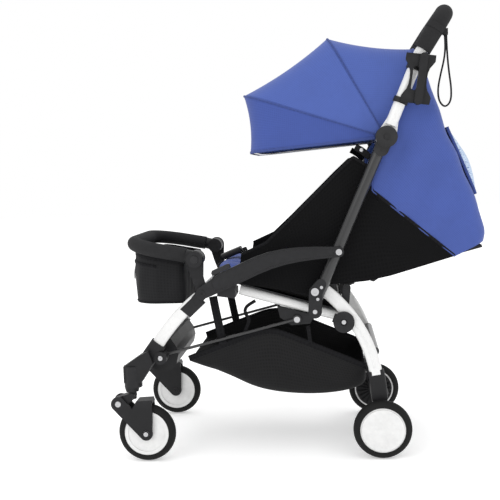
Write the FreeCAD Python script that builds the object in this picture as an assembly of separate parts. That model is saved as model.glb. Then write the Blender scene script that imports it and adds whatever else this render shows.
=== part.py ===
import FreeCAD, Part

import os
from math import atan2, cos, degrees, pi, radians, sin, sqrt, tan

V = FreeCAD.Vector

# A compact folding baby stroller, in millimetres.
# X runs from the front wheels to the push handle, Y across, Z up; -Y is the user's left side.
# Places are given as (x, z) from the middle of the wheelbase, in the plane of each side,
# and everything is moved by ORIGIN_SHIFT at export, to centre the whole box on X = 0.
ORIGIN_SHIFT = V(-83.5, 0, 0)

# Wheels
WHEELBASE = 548.0
WHEEL_R = 67.5
TYRE_W = 26.0
RIM_R = 52.0
FRONT_WHEEL_Y = 200.0
REAR_WHEEL_Y = 192.0
AXLE_R = 4.0
RUNNING_GAP = 0.06

# Frame joints, (x, z)
FRAME_PIVOT = (126.0, 345.0)        # upright on the seat tube
REAR_LEG_PIVOT = (191.0, 316.0)     # rear leg on the seat tube's rear end
FRONT_LEG_PIVOT = (-130.0, 395.0)   # front leg on the armrest's front end
ARMREST_PIVOT = (183.0, 482.0)      # armrest on the upright
HANDLE_HINGE = (295.0, 735.0)       # push handle and canopy on the upright
ROD_PIVOT = (83.0, 322.0)           # link rod on the bracket under the seat tube
ROD_FRONT = (-237.0, 242.0)         # link rod's open end on the front leg
BAR_JOINT = (-146.0, 472.0)         # padded front bar
RECLINE_HINGE = (200.0, 392.0)      # backrest
CASTER_X = -306.0                   # swivel axis
UPRIGHT_FOOT = (131.0, 373.0)       # lower and upper ends of the upright's tube
UPRIGHT_TOP = (280.1, 709.5)
UPRIGHT_HEADING = degrees(atan2(727.0 - 366.0, 288.0 - 128.0))
FORK_PIVOT = (-337.0, 139.0)        # suspension arm

# Distances of each layer from the middle plane, in Y
SEAT_TUBE_Y = 145.0
REAR_LEG_Y = 167.5
UPRIGHT_Y = 190.0
FRONT_LEG_Y = 186.0
ARMREST_Y = (206.5, 219.5)
BAR_BRACKET_Y = (196.0, 205.5)
ROD_Y = 161.8
CANOPY_Y = 172.0
SIDE_FABRIC_Y = 169.0

# Sections
SEAT_TUBE_R = 12.0
UPRIGHT_R = 13.0
HANDLE_R = 13.5
FOAM_R = 20.0
LEG_W = 30.0                        # leg section in the side plane
FRONT_LEG_T = 18.0
REAR_LEG_T = 16.0
TUBE_WALL = 1.6
BAR_FOAM_R = 17.0
FABRIC = 2.0

# Canopy: bow angles about the hinge, measured from +X towards +Z, and each bow's reach
BOW_ANGLES = {"rear": 71.0, "mid": 118.6, "front": 161.4, "brim": 184.3}
BOW_REACH = {"rear": 205.0, "mid": 264.0, "front": 341.0, "brim": 313.0}
BOW_HALF = {"rear": 167.2, "mid": 162.0, "front": 156.8, "brim": 151.6}
BOW_R = 2.3
BOW_INSET = 8.0
CANOPY_CORNER = 62.0
HUB_R = 15.0

# Seat
SEAT_SLOPE = -0.292                 # rise over run of the seat tubes, towards the rear
SEAT_FRONT_X = -50.0
SEAT_TUBE_TOP_Z = 404.0             # top of the tube at x = -47
BACK_SLOPE = 14.5                   # reclined backrest, degrees above level
BACK_LENGTH = 322.0
BACK_HALF_WIDTH = 148.0


# ---------------------------------------------------------------- helpers

def at(point, y):
    """The 3-D point at (x, z) in the side plane y."""
    return V(point[0], y, point[1])


def polar(centre, radius, angle):
    """The (x, z) point at a distance and an angle from +X towards +Z."""
    return (centre[0] + radius * cos(radians(angle)), centre[1] + radius * sin(radians(angle)))


def rod(start, end, radius):
    """A round bar between two 3-D points."""
    axis = end - start
    return Part.makeCylinder(radius, axis.Length, start, axis)


def pin(point, radius, y0, y1):
    """A round bar across the stroller at (x, z), between two Y planes."""
    return rod(at(point, y0), at(point, y1), radius)


def plate(points, y0, y1):
    """A flat plate: a polygon of (x, z) points between two Y planes."""
    corners = [at(p, y0) for p in points]
    face = Part.Face(Part.makePolygon(corners + [corners[0]]))
    return face.extrude(V(0, y1 - y0, 0))


def fused(shapes):
    """One shape made of several that overlap."""
    whole = shapes[0].multiFuse(shapes[1:]) if len(shapes) > 1 else shapes[0]
    return whole.removeSplitter()


def link(circles, y0, y1):
    """A plate around a chain of (x, z, radius) circles, joined by their outer tangents."""
    solids = [pin((x, z), r, y0, y1) for x, z, r in circles]
    for (x0, z0, r0), (x1, z1, r1) in zip(circles, circles[1:]):
        heading = degrees(atan2(z1 - z0, x1 - x0))
        lean = degrees(atan2(sqrt(max((x1 - x0) ** 2 + (z1 - z0) ** 2 - (r0 - r1) ** 2, 0)), r0 - r1))
        corners = [polar((x0, z0), r0, heading + lean), polar((x1, z1), r1, heading + lean),
                   polar((x1, z1), r1, heading - lean), polar((x0, z0), r0, heading - lean)]
        solids.append(plate(corners, y0, y1))
    return fused(solids)


def mirrored(shape):
    """The same shape on the other side of the stroller."""
    return shape.mirror(V(0, 0, 0), V(0, 1, 0))


def pair(name, left):
    """Left and right nodes of one part."""
    return {name + "_left": left, name + "_right": mirrored(left)}


def both(*left):
    """The left parts and their mirror images, in one node."""
    solids = [solid for shape in left for solid in shape.Solids]
    return Part.makeCompound(solids + [mirrored(solid) for solid in solids])


def arc_wire(points, y):
    """A wire through three (x, z) points in a side plane."""
    return Part.Wire([Part.Arc(*[at(p, y) for p in points]).toShape()])


def rounded_section(width, thickness, radius):
    """A closed rounded rectangle about the origin: width along X, thickness along Y."""
    w, t = width / 2 - radius, thickness / 2 - radius
    edges = []
    corners = [(w, t, 0), (-w, t, 90), (-w, -t, 180), (w, -t, 270)]
    ends = []
    for x, y, start in corners:
        a, m, b = (V(x + radius * cos(radians(start + d)), y + radius * sin(radians(start + d)), 0)
                   for d in (0, 45, 90))
        edges.append(Part.Arc(a, m, b).toShape())
        ends.append((a, b))
    joined = []
    for i, edge in enumerate(edges):
        joined.append(edge)
        joined.append(Part.LineSegment(ends[i][1], ends[(i + 1) % 4][0]).toShape())
    return Part.Wire(joined)


def placed_section(wire, path):
    """A section drawn about the origin, set square to the start of a path in a side plane."""
    start = path.Edges[0].valueAt(path.Edges[0].FirstParameter)
    tangent = path.Edges[0].tangentAt(path.Edges[0].FirstParameter)
    side = V(0, 1, 0)
    normal = side.cross(tangent)
    turn = FreeCAD.Rotation(normal, side, tangent, "ZXY")
    section = wire.copy()
    section.Placement = FreeCAD.Placement(start, turn)
    return section


def swept(path, wire):
    """A solid swept along a path."""
    return path.makePipeShell([placed_section(wire, path)], True, False)


def bent_path(points, radii):
    """Straight runs between 3-D points, joined by tangent arcs of the given radii."""
    edges, start = [], points[0]
    for corner, after, radius in zip(points[1:-1], points[2:], radii):
        back = (start - corner).normalize()
        ahead = (after - corner).normalize()
        half_turn = (pi - back.getAngle(ahead)) / 2
        trim = radius * tan(half_turn)
        first, last = corner + back * trim, corner + ahead * trim
        middle = corner + (back + ahead).normalize() * (radius / cos(half_turn) - radius)
        edges += [Part.LineSegment(start, first).toShape(), Part.Arc(first, middle, last).toShape()]
        start = last
    edges.append(Part.LineSegment(start, points[-1]).toShape())
    return Part.Wire(edges)


def round_tube(path, radius, bore=0.0):
    """A round tube along a path; with a bore it is hollow from end to end."""
    def pipe(r):
        start = path.Edges[0].valueAt(path.Edges[0].FirstParameter)
        tangent = path.Edges[0].tangentAt(path.Edges[0].FirstParameter)
        ring = Part.Wire([Part.makeCircle(r, start, tangent)])
        return path.makePipeShell([ring], True, False)
    return pipe(radius).cut(pipe(bore)) if bore else pipe(radius)


def seat_top(x):
    """Height of the top of the seat tubes at x."""
    return SEAT_TUBE_TOP_Z + SEAT_SLOPE * (x + 47.0)


def seat_slab(x0, x1, low, high, y0, y1):
    """A slab that follows the seat tubes, between two heights above their tops."""
    corners = [(x0, seat_top(x0) + low), (x1, seat_top(x1) + low),
               (x1, seat_top(x1) + high), (x0, seat_top(x0) + high)]
    return plate(corners, y0, y1)


def on_back(along, up):
    """The (x, z) point at a distance along the backrest and above its underside."""
    foot = polar(RECLINE_HINGE, along, BACK_SLOPE)
    return polar(foot, up, BACK_SLOPE + 90)


def back_slab(a0, a1, low, high, y0, y1):
    """A slab that follows the reclined backrest."""
    return plate([on_back(a0, low), on_back(a1, low), on_back(a1, high), on_back(a0, high)], y0, y1)


# ---------------------------------------------------------------- wheels and casters

def tyre(centre, y):
    """A tyre with a rounded tread, open where the rim sits."""
    round_r = TYRE_W / 2 - 1.0
    tread = WHEEL_R - round_r
    section = Part.Wire([
        Part.LineSegment(V(RIM_R, -TYRE_W / 2, 0), V(tread, -TYRE_W / 2, 0)).toShape(),
        Part.Arc(V(tread, -TYRE_W / 2, 0), V(WHEEL_R, 0, 0), V(tread, TYRE_W / 2, 0)).toShape(),
        Part.LineSegment(V(tread, TYRE_W / 2, 0), V(RIM_R, TYRE_W / 2, 0)).toShape(),
        Part.LineSegment(V(RIM_R, TYRE_W / 2, 0), V(RIM_R, -TYRE_W / 2, 0)).toShape()])
    ring = Part.Face(section).revolve(V(0, 0, 0), V(0, 1, 0), 360)
    ring.translate(at(centre, y))
    return ring


def rim(centre, y):
    """A dished disc wheel with a hub, bored for the axle."""
    half = TYRE_W / 2
    body = pin(centre, RIM_R - 0.05, y - half + 1, y + half - 1)
    for side in (-1, 1):
        dish = pin(centre, RIM_R - 8, y + side * (half - 3), y + side * half)
        body = body.cut(dish)
        body = body.fuse(pin(centre, 11, y + side * (half - 4), y + side * half))
    return body.cut(pin(centre, AXLE_R + RUNNING_GAP, y - half - 0.1, y + half + 1)).removeSplitter()


def brake_ribs(centre, y):
    """Radial slots on the inner face of a rear wheel, which the brake drops into."""
    face = y + TYRE_W / 2
    slots = [rod(at(polar(centre, 19, 22.5 * i), face), at(polar(centre, RIM_R - 12, 22.5 * i), face), 2.4)
             for i in range(16)]
    return Part.makeCompound(slots)


FORK_INNER = TYRE_W / 2 + 1.5
FORK_PLATE = 5.0


def fork(centre, y):
    """A twin-sided suspension arm with a fender over the wheel."""
    x, z = centre
    outline = [(FORK_PIVOT[0], FORK_PIVOT[1], 17.0), (x, z, 15.5)]
    web = [(FORK_PIVOT[0] + 10, FORK_PIVOT[1] + 11), (x - 31, z + 58), (x - 24, z + 72), (x - 20, z + 78), (x + 15, z + 80),
           (x + 17, z + 52), (x + 14.5, z), (x - 12, z - 8), (FORK_PIVOT[0] - 12, FORK_PIVOT[1] - 12)]
    sides = []
    for side in (-1, 1):
        y0 = y + side * FORK_INNER
        y1 = y0 + side * FORK_PLATE
        sides.append(fused([link(outline, y0, y1), plate(web, y0, y1)]))
    top = [(x - 22, z + 73.5), (x - 20, z + 78), (x + 15, z + 80), (x + 18, z + 72.5)]
    fender = plate(top, y - FORK_INNER - 1, y + FORK_INNER + 1)
    body = fused(sides + [fender])
    body = body.cut(pin(centre, AXLE_R, y - 30, y + 30))
    return body.cut(pin(FORK_PIVOT, 4.0 + RUNNING_GAP, y - 30, y + 30))


def caster_stem(y):
    """The swivel stem: a spigot in the housing, a collar, and the knuckle that carries the fork."""
    z = FORK_PIVOT[1]
    half = FORK_INNER - 1.0
    spigot = Part.makeCylinder(7.0, 34, V(CASTER_X, y, 170))
    collar = Part.makeCone(15.0, 17.0, 9.5, V(CASTER_X, y, 165.8))
    neck = Part.makeCylinder(9.5, 19, V(CASTER_X, y, 148))
    arm = link([(FORK_PIVOT[0], z, 15.0), (CASTER_X, z + 16.0, 8.0)], y - half, y + half)
    body = fused([spigot, collar, neck, arm])
    return body.fuse(pin(FORK_PIVOT, 4.0, y - FORK_INNER - FORK_PLATE - 1, y + FORK_INNER + FORK_PLATE + 1))


def bolt_head(point, y, side, radius, height):
    """A domed bolt head with a hexagon socket, standing out of a face at y."""
    head = pin(point, radius, y, y + side * height)
    socket = pin(point, radius * 0.45, y + side * height * 0.45, y + side * (height + 1))
    return head.cut(socket)


def caster_housing():
    """The moulded end of a front leg: a sleeve round the tube and the upright swivel socket."""
    y = -FRONT_WHEEL_Y
    socket = Part.makeCylinder(21.0, 50, V(CASTER_X + 3, y + 2, 176))
    cap = [(-322, 226), (-283, 252), (-262, 262), (-252, 232), (-281, 188), (-322, 188)]
    web = plate(cap, y - 14, y + 17)
    sleeve = swept(arc_wire([(-292.0, 205.0), (-268.0, 239.0), (-240.5, 276.0)], -FRONT_LEG_Y),
                   rounded_section(LEG_W + 7, FRONT_LEG_T + 7, 9))
    boss = pin(ROD_FRONT, 15, -FRONT_LEG_Y - 14, -ROD_Y - 4.2)
    body = fused([socket, web, sleeve, boss])
    floor = Part.makeBox(120, 80, 60, V(CASTER_X - 60, y - 40, 116))
    body = body.cut(floor)
    body = body.cut(Part.makeCylinder(7.0 + RUNNING_GAP, 30, V(CASTER_X, y, 175)))
    return body.cut(front_leg_solid())


def footrest():
    """The moulded footrest between the front legs: a D-shaped bar on a cross rod."""
    outline = [(-236, 283), (-222, 276), (-209, 256), (-205, 236), (-210, 215), (-222, 201), (-240, 196),
               (-262, 201), (-272, 210), (-272, 246), (-258, 268)]
    inner = FRONT_LEG_Y - FRONT_LEG_T / 2
    return fused([plate(outline, -138, 138), pin((-258, 247), 5.0, -inner, inner)])


def front_leg_solid():
    """The front leg's outer shape: a gently bowed tube of rounded section."""
    path = arc_wire([(-262.0, 243.0), (-206.0, 322.0), (-143.0, 381.0)], -FRONT_LEG_Y)
    return swept(path, rounded_section(LEG_W, FRONT_LEG_T, 8))


def front_leg():
    """The tube, hollow inside its walls."""
    path = arc_wire([(-262.0, 243.0), (-206.0, 322.0), (-143.0, 381.0)], -FRONT_LEG_Y)
    bore = swept(path, rounded_section(LEG_W - 2 * TUBE_WALL, FRONT_LEG_T - 2 * TUBE_WALL, 8 - TUBE_WALL))
    return front_leg_solid().cut(bore)


def front_leg_band():
    """The moulded band and knuckle at the top of a front leg, bored for its hinge pin."""
    y = -FRONT_LEG_Y
    half = FRONT_LEG_T / 2
    band = plate([(-186, 356), (-163, 336), (-128, 368), (-150, 389)], y - half - 0.6, y + half)
    knuckle = link([(FRONT_LEG_PIVOT[0], FRONT_LEG_PIVOT[1], 13.0), (-147, 376, 13.0)], y - half, y + half)
    body = fused([band, knuckle]).cut(front_leg_solid())
    return body.cut(pin(FRONT_LEG_PIVOT, 4.0 + RUNNING_GAP, y - 20, y + 20))


def front_end():
    """Front legs, caster housings, stems, forks and front wheels."""
    y = -FRONT_WHEEL_Y
    axle = (-WHEELBASE / 2, WHEEL_R)
    reach = FORK_INNER + FORK_PLATE
    wheel_bolt = [pin(axle, AXLE_R, y - reach, y + reach),
                  bolt_head(axle, y - reach, -1, 7.5, 2.8), bolt_head(axle, y + reach, 1, 7.5, 2.8)]
    nodes = {"front_legs": both(front_leg()), "leg_castings": both(caster_housing(), front_leg_band())}
    rest = footrest().cut(nodes["leg_castings"]).cut(nodes["front_legs"])
    nodes["leg_castings"] = Part.makeCompound(nodes["leg_castings"].Solids + [rest])
    nodes.update(pair("caster_stem", caster_stem(y)))
    nodes.update(pair("caster_fork", fused([fork(axle, y)] + wheel_bolt)))
    nodes.update(pair("front_tyre", tyre(axle, y)))
    nodes.update(pair("front_rim", rim(axle, y)))
    return nodes


# ---------------------------------------------------------------- rear end

REAR_LEG_ARC = [(150.0, 388.0), (221.0, 306.0), (263.0, 190.0)]


def rear_leg():
    """The bowed rear leg with the flat lug that pivots on the seat tube."""
    y = -REAR_LEG_Y
    path = arc_wire(REAR_LEG_ARC, y)
    outer = swept(path, rounded_section(LEG_W, REAR_LEG_T, 7))
    bore = swept(path, rounded_section(LEG_W - 2 * TUBE_WALL, REAR_LEG_T - 2 * TUBE_WALL, 7 - TUBE_WALL))
    lug = link([(REAR_LEG_PIVOT[0], REAR_LEG_PIVOT[1], 22.0), (212, 318, 14.0)],
               y - REAR_LEG_T / 2, y + REAR_LEG_T / 2)
    body = fused([outer.cut(bore), lug])
    return body.cut(pin(REAR_LEG_PIVOT, 5.0 + RUNNING_GAP, y - 30, y + 30))


def rear_sleeve():
    """The moulded foot of a rear leg, which carries the axle."""
    y = -REAR_LEG_Y
    half = REAR_LEG_T / 2
    upper = swept(arc_wire([(261.5, 200.0), (266.5, 170.0), (269.5, 134.0)], y),
                  rounded_section(LEG_W + 8, REAR_LEG_T - 0.5, 7))
    lower = link([(269.5, 140.0, 17.0), (WHEELBASE / 2, WHEEL_R, 15.0)], y - half + 0.5, y + half - 3)
    body = fused([upper, lower])
    leg = swept(arc_wire(REAR_LEG_ARC, y), rounded_section(LEG_W, REAR_LEG_T, 7))
    body = body.cut(leg)
    return body.cut(pin((WHEELBASE / 2, WHEEL_R), AXLE_R, y - 30, y + 30))


def rear_end():
    """Rear legs, axle, brake and rear wheels."""
    y = -REAR_WHEEL_Y
    axle = (WHEELBASE / 2, WHEEL_R)
    nodes = {"rear_legs": both(rear_leg()), "rear_sleeves": both(rear_sleeve())}
    nodes.update(pair("rear_tyre", tyre(axle, y)))
    face = y - TYRE_W / 2
    cap = pin(axle, RIM_R - 3, face - 2.5, face + 1)
    rim_edges = [e for e in cap.Edges if abs(e.CenterOfMass.y - (face - 2.5)) < 0.2]
    cap = cap.makeFillet(1.6, rim_edges)
    disc = fused([rim(axle, y).cut(brake_ribs(axle, y)), cap])
    nodes.update(pair("rear_rim", disc))
    inner = REAR_LEG_Y - REAR_LEG_T / 2 + 2.8
    housing = link([(axle[0], axle[1], 12.0), (axle[0] - 6, axle[1] + 22, 9.0)], -inner, inner)
    slot = Part.makeBox(60, 74, 40, V(axle[0] - 30, -37, axle[1] + 13))
    housing = housing.cut(slot).cut(pin(PEDAL_PIVOT, 3.0 + RUNNING_GAP, -60, 60))
    end = REAR_WHEEL_Y + TYRE_W / 2 - 1.6
    nodes["axle_beam"] = fused([housing, pin(axle, AXLE_R, -end, end)])
    nodes["brake_pedal"] = brake_pedal()
    tube_end = REAR_LEG_Y - REAR_LEG_T / 2
    nodes["rear_cross_tube"] = pin(REAR_TUBE, 9.5, -tube_end, tube_end)
    return nodes


REAR_TUBE = (262.0, 243.0)
PEDAL_PIVOT = (WHEELBASE / 2 - 6, WHEEL_R + 22)


def brake_pedal():
    """The foot pedal at the middle of the axle beam, on its own pin."""
    x, z = PEDAL_PIVOT
    hub = pin(PEDAL_PIVOT, 7.0, -36, 36)
    tread = plate([(x + 3, z + 3), (x + 34, z + 12), (x + 33, z + 17), (x + 1, z + 9)], -30, 30)
    beam_cut = Part.makeBox(60, 80, 12, V(x - 12, -40, z - 19))
    body = fused([hub, tread]).cut(beam_cut)
    return body.fuse(pin(PEDAL_PIVOT, 3.0, -48, 48))


# ---------------------------------------------------------------- seat frame

def seat_tube():
    """A side tube of the seat, hollow, with plugged ends."""
    start = V(SEAT_FRONT_X, -SEAT_TUBE_Y, seat_top(SEAT_FRONT_X) - SEAT_TUBE_R)
    end = V(196.0, -SEAT_TUBE_Y, seat_top(196.0) - SEAT_TUBE_R)
    body = rod(start, end, SEAT_TUBE_R)
    inset = (end - start).normalize() * 14.0
    return body.cut(rod(start + inset, end - inset * 4, SEAT_TUBE_R - TUBE_WALL))


def seat_pins():
    """Pivot pins fixed in the seat tubes: for the uprights, the rear legs and the link rods."""
    left = []
    inner = -SEAT_TUBE_Y + SEAT_TUBE_R - 2
    upright_pin = pin(FRAME_PIVOT, 5.0, inner, -UPRIGHT_Y - UPRIGHT_R - 1.5)
    left.append(upright_pin.fuse(pin(FRAME_PIVOT, 8.0, -SEAT_TUBE_Y - SEAT_TUBE_R + 0.8, -UPRIGHT_Y + UPRIGHT_R + 1.0)))
    disc_y = -REAR_LEG_Y - REAR_LEG_T / 2 - 0.6
    leg_pin = pin(REAR_LEG_PIVOT, 5.0, inner, disc_y - 6)
    left.append(leg_pin)
    eye = -ROD_Y
    left.append(pin(ROD_PIVOT, 4.0, -SEAT_TUBE_Y + 4, eye - 5.5).fuse(pin(ROD_PIVOT, 7.0, eye - 7.5, eye - 5.5)))
    return Part.makeCompound(left + [mirrored(s) for s in left])


def rear_disc():
    """The round cap on the outside of a rear leg pivot, with a stop tab and a bolt recess."""
    y1 = -REAR_LEG_Y - REAR_LEG_T / 2 - 0.6
    body = pin(REAR_LEG_PIVOT, 24.5, y1 - 7, y1)
    x, z = REAR_LEG_PIVOT
    tab = plate([(x - 27.5, z + 1), (x - 20, z + 20), (x - 12, z + 18), (x - 22, z)], y1 - 5, y1)
    body = fused([body, tab])
    body = body.cut(pin(REAR_LEG_PIVOT, 8.0, y1 - 8, y1 - 4))
    return body.cut(pin(REAR_LEG_PIVOT, 5.0, y1 - 8, y1 + 1))


def rod_bracket():
    """The bracket under a seat tube that the link rod turns on."""
    x, z = ROD_PIVOT
    y0, y1 = -SEAT_TUBE_Y - SEAT_TUBE_R - 0.3, -SEAT_TUBE_Y + 2
    outline = [(x - 46, seat_top(x - 46) - 26), (x + 42, seat_top(x + 42) - 24),
               (x + 30, z - 12), (x - 14, z - 15), (x - 40, z + 4)]
    body = plate(outline, y0, y1)
    body = body.cut(pin(ROD_PIVOT, 4.0, y0 - 1, y1 + 1)).cut(seat_tube_solid())
    return body.cut(pin(FRAME_PIVOT, 8.4, y0 - 1, y1 + 1))


def seat_tube_solid():
    """The outer cylinder of a seat tube."""
    start = V(SEAT_FRONT_X, -SEAT_TUBE_Y, seat_top(SEAT_FRONT_X) - SEAT_TUBE_R)
    end = V(196.0, -SEAT_TUBE_Y, seat_top(196.0) - SEAT_TUBE_R)
    return rod(start, end, SEAT_TUBE_R)


def link_rod():
    """The rod between the seat tube's bracket and the front leg, with a flattened eye at each end."""
    y = -ROD_Y
    eyes = [pin(ROD_PIVOT, 9.5, y - 3.0, y + 3.0), pin(ROD_FRONT, 9.0, y - 3.0, y + 3.0)]
    body = rod(at(ROD_PIVOT, y), at(ROD_FRONT, y), 3.4).multiFuse(eyes)
    body = body.cut(pin(ROD_PIVOT, 4.0 + RUNNING_GAP, y - 10, y + 10))
    return body.cut(pin(ROD_FRONT, 6.0, y - 10, y + 10))


def seat_frame():
    """Seat tubes, cross tubes, board, cushion, harness, pins, brackets and link rods."""
    inner = SEAT_TUBE_Y - SEAT_TUBE_R + 0.4
    crossings = [pin((x, seat_top(x) - SEAT_TUBE_R), 8.0, -inner, inner) for x in (-24.0, 60.0, 150.0)]
    x, z = RECLINE_HINGE
    ear = link([(x, z, 9.0), (x - 8, z - 66, 9.0)], -156.5, -151.0).cut(seat_tube_solid())
    ear = ear.cut(pin(RECLINE_HINGE, 5.0 + RUNNING_GAP, -160, -140)).cut(pin(REAR_LEG_PIVOT, 5.4, -160, -140))
    side = seat_tube().cut(seat_pin_holes())
    pins = seat_pins()
    nodes = {"seat_frame_tubes": fused([side, mirrored(side)] + crossings).cut(pins), "seat_pins": pins}
    nodes["seat_castings"] = both(rear_disc(), rod_bracket(), max(ear.Solids, key=lambda solid: solid.Volume))
    nodes["seat_board"] = seat_slab(-96, 180, 0.9, 4.9, -157, 157)
    nodes["seat_cushion"] = seat_slab(-112, 181, 5.2, 40, -158, 158)
    nodes["link_rods"] = both(link_rod())
    nodes["seat_harness"] = fused([seat_slab(-40, 62, 40.4, 42.6, -14, 14), seat_slab(-4, 48, 42.6, 55, -24, 24)])
    return nodes


def seat_pin_holes():
    """Room in the left seat tube for its two pivot pins."""
    return pin(FRAME_PIVOT, 5.0, -200, 0).fuse(pin(REAR_LEG_PIVOT, 5.0, -200, 0))


# ---------------------------------------------------------------- uprights and hinge



def upright():
    """The lower handle tube from the seat bracket to the folding hinge."""
    start, end = at(UPRIGHT_FOOT, -UPRIGHT_Y), at(UPRIGHT_TOP, -UPRIGHT_Y)
    body = rod(start, end, UPRIGHT_R)
    inset = (end - start).normalize() * 22.0
    body = body.cut(rod(start + inset, end - inset, UPRIGHT_R - TUBE_WALL))
    return body.cut(pin(ARMREST_PIVOT, 4.0, -240, -150))


def upright_bracket():
    """The cast foot of an upright, which turns on the seat tube's pin."""
    y0, y1 = -UPRIGHT_Y - UPRIGHT_R - 0.5, -UPRIGHT_Y + UPRIGHT_R - 1.0
    x, z = FRAME_PIVOT
    body = link([(x, z, 15.5), (129.0, 390.0, 15.5), (141.0, 408.0, 12.0)], y0, y1)
    body = body.cut(rod(at(UPRIGHT_FOOT, -UPRIGHT_Y), at(UPRIGHT_TOP, -UPRIGHT_Y), UPRIGHT_R))
    return body.cut(pin(FRAME_PIVOT, 5.0 + RUNNING_GAP, y0 - 1, y1 + 1))


def upright_bolts():
    """The bolts on the upright brackets and the armrest pivots."""
    face = -UPRIGHT_Y - UPRIGHT_R - 0.5
    left = [bolt_head((127.0, 391.0), face, -1, 9.0, 2.6)]
    left += [bolt_head(p, face, -1, 3.6, 1.6) for p in ((142.0, 401.0), (133.0, 374.0))]
    armrest_face = -ARMREST_Y[1]
    shank = pin(ARMREST_PIVOT, 4.0, armrest_face, -UPRIGHT_Y + 5)
    left.append(shank.fuse(bolt_head(ARMREST_PIVOT, armrest_face, -1, 7.0, 2.0)))
    return Part.makeCompound(left + [mirrored(s) for s in left])


def hinge_base():
    """The cap on top of an upright: a collar on the tube and the hinge's lower disc."""
    heading = UPRIGHT_HEADING
    foot = polar(HANDLE_HINGE, -34, heading)
    collar = rod(at(foot, -UPRIGHT_Y), at(polar(HANDLE_HINGE, -16, heading), -UPRIGHT_Y), UPRIGHT_R + 3.5)
    cheek = pin(HANDLE_HINGE, 24.0, -UPRIGHT_Y - UPRIGHT_R - 4, -UPRIGHT_Y - 4.0)
    inner = pin(HANDLE_HINGE, 24.0, -UPRIGHT_Y + 4.0, -UPRIGHT_Y + UPRIGHT_R + 1)
    body = fused([collar, cheek, inner, collar_web(heading)])
    body = body.cut(hinge_room())
    body = body.cut(rod(at(UPRIGHT_FOOT, -UPRIGHT_Y), at(UPRIGHT_TOP, -UPRIGHT_Y), UPRIGHT_R))
    body = body.cut(pin(HANDLE_HINGE, 6.0 + RUNNING_GAP, -230, -UPRIGHT_Y))
    return body.fuse(pin(HANDLE_HINGE, 5.0, -UPRIGHT_Y - 6, -UPRIGHT_Y + UPRIGHT_R))


def collar_web(heading):
    """The solid between the collar and the two cheeks of the hinge."""
    foot = polar(HANDLE_HINGE, -30, heading)
    return link([(foot[0], foot[1], 16.0), (HANDLE_HINGE[0], HANDLE_HINGE[1], 16.0)],
                -UPRIGHT_Y - UPRIGHT_R - 3, -UPRIGHT_Y + UPRIGHT_R + 1)


def hinge_room():
    """The slot between the cheeks, in which the handle's tongue turns."""
    return pin(HANDLE_HINGE, 26.5, -UPRIGHT_Y - 4.0, -UPRIGHT_Y + 4.0)


def hinge_button():
    """The round push button at the middle of the hinge's outer cheek."""
    face = -UPRIGHT_Y - UPRIGHT_R - 4
    body = pin(HANDLE_HINGE, 6.0, face + 6.5, face)
    return body.fuse(pin(HANDLE_HINGE, 5.9, face, face - 3.0)).removeSplitter()


def uprights():
    """Uprights, brackets, bolts, hinge parts and canopy hubs."""
    nodes = {"upright_tubes": both(upright()), "upright_brackets": both(upright_bracket())}
    nodes["upright_bolts"] = upright_bolts()
    nodes["hinge_bases"] = both(hinge_base())
    nodes.update(pair("hinge_button", hinge_button()))
    return nodes


# ---------------------------------------------------------------- push handle

HANDLE_KINK = (371.0, 914.0)
CROSSBAR = (430.0, 1005.0)


def handle_path(first, last_fraction=1.0):
    """Half of the handle's U, from a point on the left leg to the middle of the crossbar."""
    y = -UPRIGHT_Y
    points = [at(first, y), at(HANDLE_KINK, y), at(CROSSBAR, y), V(CROSSBAR[0], 0, CROSSBAR[1])]
    return bent_path(points, [60.0, 46.0])


def u_tube(path_half, radius):
    """A U-shaped round bar made of a half and its mirror image."""
    half = round_tube(path_half, radius)
    return half.fuse(mirrored(half)).removeSplitter()


def push_handle():
    """The U-shaped upper tube, with a flat tongue in each hinge."""
    start = polar(HANDLE_HINGE, 27.0, 68.4)
    tube = u_tube(handle_path(start), HANDLE_R)
    tongue = link([(HANDLE_HINGE[0], HANDLE_HINGE[1], 22.0), (start[0] + 6, start[1] + 15, 12.0)],
                  -UPRIGHT_Y - 3.6, -UPRIGHT_Y + 3.6)
    tongue = tongue.cut(pin(HANDLE_HINGE, 5.0 + RUNNING_GAP, -UPRIGHT_Y - 8, -UPRIGHT_Y + 8))
    return fused([tube, tongue, mirrored(tongue)])


def foam_grip():
    """The foam sleeve over the crossbar and the upper legs of the handle."""
    first = (376.5, 922.5)
    path = bent_path([at(first, -UPRIGHT_Y), at(CROSSBAR, -UPRIGHT_Y), V(CROSSBAR[0], 0, CROSSBAR[1])], [46.0])
    return u_tube(path, FOAM_R).cut(u_tube(handle_path(polar(HANDLE_HINGE, 27.0, 68.4)), HANDLE_R))


CLIP_BASE = (357.0, 805.0)
CLIP_TOP = (373.0, 911.0)


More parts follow.
